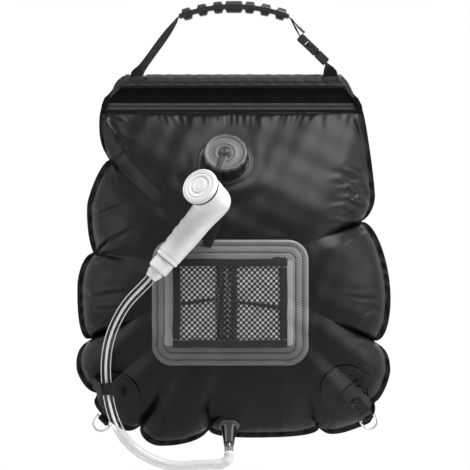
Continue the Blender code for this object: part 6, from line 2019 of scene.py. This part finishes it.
side_across = headed(SIDE_START, SIDE_END)[1]
stations = []
for step in range(13):
    share = step / 12
    lift = 0.0042 + 0.0022 * math.sin(math.pi * share) ** 0.8
    stations.append((on_bag(*between(SIDE_START, SIDE_END, share), lift), side_across))
side_strap = strap("corner_strap", stations, TAB_WIDTH, TAB_THICK, 60)
piece(side_strap, WEBBING, "webbing", "bag", "side_strap")
hose_side = HELD_ALONG.cross(Y_AXIS).normalized()
if hose_side.x < 0:
    hose_side = -hose_side
hose_front = hose_side.cross(HELD_ALONG)
if hose_front.y > 0:
    hose_front = -hose_front
bow = HOSE_RADIUS + 0.0007 + TAB_THICK / 2
stations = [(on_bag(-0.1735, -0.4588, 0.0050), HELD_ALONG)]
for step in range(9):
    angle = HELD_ROUND * (step / 4 - 1)
    around = hose_side * math.sin(angle) + hose_front * math.cos(angle)
    stations.append((HELD_AT + around * bow, HELD_ALONG))
stations.append((on_bag(-0.1380, -0.4769, 0.0046), HELD_ALONG))
hose_strap = strap("hose_keeper", stations, TAB_WIDTH, TAB_THICK, 90)
piece(hose_strap, WEBBING, "webbing", "bag", "hose_strap")
print("strap over the hose, faces:", len(hose_strap.polygons))

# %% Tabs and wire rings
TAB_EYE = 0.0023
TAB_SEAM_SHARE = 0.6
RING_HALF = 0.0105
RING_DEEP = 0.0145
RING_WIRE = 0.00125
# Each tab's start across and up, the bar of its ring, and where the ring hangs to
TABS = (
    ("left", (-0.1500, -0.4888), Vector((-0.1630, -0.00607, -0.509176)), math.radians(225)),
    ("right", (0.1469, -0.4819), Vector((0.16684, -0.006963, -0.506082)), math.radians(298)),
)
for side, tab, bar, hang in TABS:
    out = Vector((math.cos(hang), 0, math.sin(hang)))
    ring_frame = frame_at(bar, out.cross(-Y_AXIS), out)
    across = ring_frame.to_3x3().col[2]
    last = bar - out * TAB_EYE
    end = (last.x, last.z)
    stations = []
    for share in (0.0, 0.25, 0.5, 0.75):
        stations.append((on_bag(*between(tab, end, share), 0.0040 + 0.0010 * share), across))
    stations.append((last, across))
    parts = [strap(f"{side}_tab_strap", stations, TAB_WIDTH, TAB_THICK, 30)]
    loop = []
    for angle in turns(12):
        loop.append((bar + (out * math.cos(angle) - Y_AXIS * math.sin(angle)) * TAB_EYE, across))
    parts.append(strap(f"{side}_tab_eye", loop, TAB_WIDTH, TAB_THICK, 40, closed=True))
    piece(joined(f"{side}_tab", parts), WEBBING, "webbing", "bag", f"{side}_ring_tab")
    seam = sewn(f"{side}_tab_seam", tab, between(tab, end, TAB_SEAM_SHARE), TAB_WIDTH, 0.0054)
    piece(seam, PALE_THREAD, "webbing", "bag")
    route = [Vector((0, 0, RING_HALF - 2 * RING_HALF * step / 6)) for step in range(7)]
    for step in range(1, 16):
        angle = math.pi * (1 - step / 16)
        route.append(Vector((RING_DEEP * math.sin(angle) ** 0.8, 0, RING_HALF * math.cos(angle))))
    ring_line = spaced([ring_frame @ point for point in route], 120, closed=True)
    wire_mesh = wire(f"{side}_wire", ring_line, RING_WIRE, 20, closed=True)
    piece(wire_mesh, RING_STEEL, "ring_steel", f"ring_{side}", f"{side}_ring", angle=60)
    print(f"{side} ring faces:", len(wire_mesh.polygons))

# %% [markdown]
# ## Floor, light and sizes
#
# A hanging bag needs no floor, but a pale disc well below it shows that nothing is cut off. One large
# soft lamp above and to the right gives the upper slope its sheen, weak ones at both sides and behind
# open the shadows, and a dim world fills the rest. The world is white only for what the camera, gloss
# and clear vinyl see.

# %% Floor and light
FLOOR_PLACE = (0, 0.1, -0.662)
FLOOR_RADIUS = 0.62
FILL_LIGHT = 0.16
BAG_MIDDLE = (0.0, 0.0, -0.3)
# Each lamp's place, what it looks at, its size in metres and its power in watts
LAMPS = (
    ("main_lamp", (0.72, -0.62, 1.38), (0.0, 0.0, -0.25), 0.75, 60),
    ("left_lamp", (-1.50, -0.55, 0.10), BAG_MIDDLE, 1.2, 11),
    ("right_lamp", (1.50, -0.50, 0.00), BAG_MIDDLE, 1.2, 17),
    ("back_lamp", (0.3, 1.4, 0.9), BAG_MIDDLE, 1.2, 8),
)
built = bmesh.new()
bmesh.ops.create_circle(built, cap_ends=True, segments=96, radius=FLOOR_RADIUS)
floor_mesh = bpy.data.meshes.new("floor")
built.to_mesh(floor_mesh)
built.free()
floor = bpy.data.objects.new("floor", floor_mesh)
bpy.context.scene.collection.objects.link(floor)
floor.location = FLOOR_PLACE
floor_paint = Paint("floor")
floor_tone = floor_paint.mix(floor_paint.cloud(0.2), (0.78, 0.78, 0.78), (0.84, 0.84, 0.84))
floor_mesh.materials.append(floor_paint.finish(Base_Color=floor_tone, Roughness=0.8))
floor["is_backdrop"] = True

world = bpy.data.worlds.new("world")
bpy.context.scene.world = world
world.use_nodes = True
tree = world.node_tree
tree.nodes.clear()
rays = tree.nodes.new("ShaderNodeLightPath")
seen = rays.outputs["Is Camera Ray"]
for kind in ("Is Transmission Ray", "Is Glossy Ray"):
    either = tree.nodes.new("ShaderNodeMath")
    either.operation = "MAXIMUM"
    tree.links.new(seen, either.inputs[0])
    tree.links.new(rays.outputs[kind], either.inputs[1])
    seen = either.outputs[0]
pick = tree.nodes.new("ShaderNodeMixShader")
tree.links.new(seen, pick.inputs["Fac"])
for place, strength in ((1, FILL_LIGHT), (2, 1.0)):
    plain = tree.nodes.new("ShaderNodeBackground")
    plain.inputs["Color"].default_value = (1, 1, 1, 1)
    plain.inputs["Strength"].default_value = strength
    tree.links.new(plain.outputs[0], pick.inputs[place])
sky = tree.nodes.new("ShaderNodeOutputWorld")
tree.links.new(pick.outputs[0], sky.inputs["Surface"])

for name, place, aim, size, power in LAMPS:
    light = bpy.data.lights.new(name, "AREA")
    light.size = size
    light.energy = power
    made = bpy.data.objects.new(name, light)
    bpy.context.scene.collection.objects.link(made)
    made.location = place
    made.rotation_euler = (Vector(aim) - Vector(place)).to_track_quat("-Z", "Y").to_euler()
print("lamps:", len(LAMPS), "power, W:", sum(power for *_, power in LAMPS))

# %% Sizes
low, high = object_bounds()
print("visual box, mm:", [round(1000 * side, 1) for side in high - low])
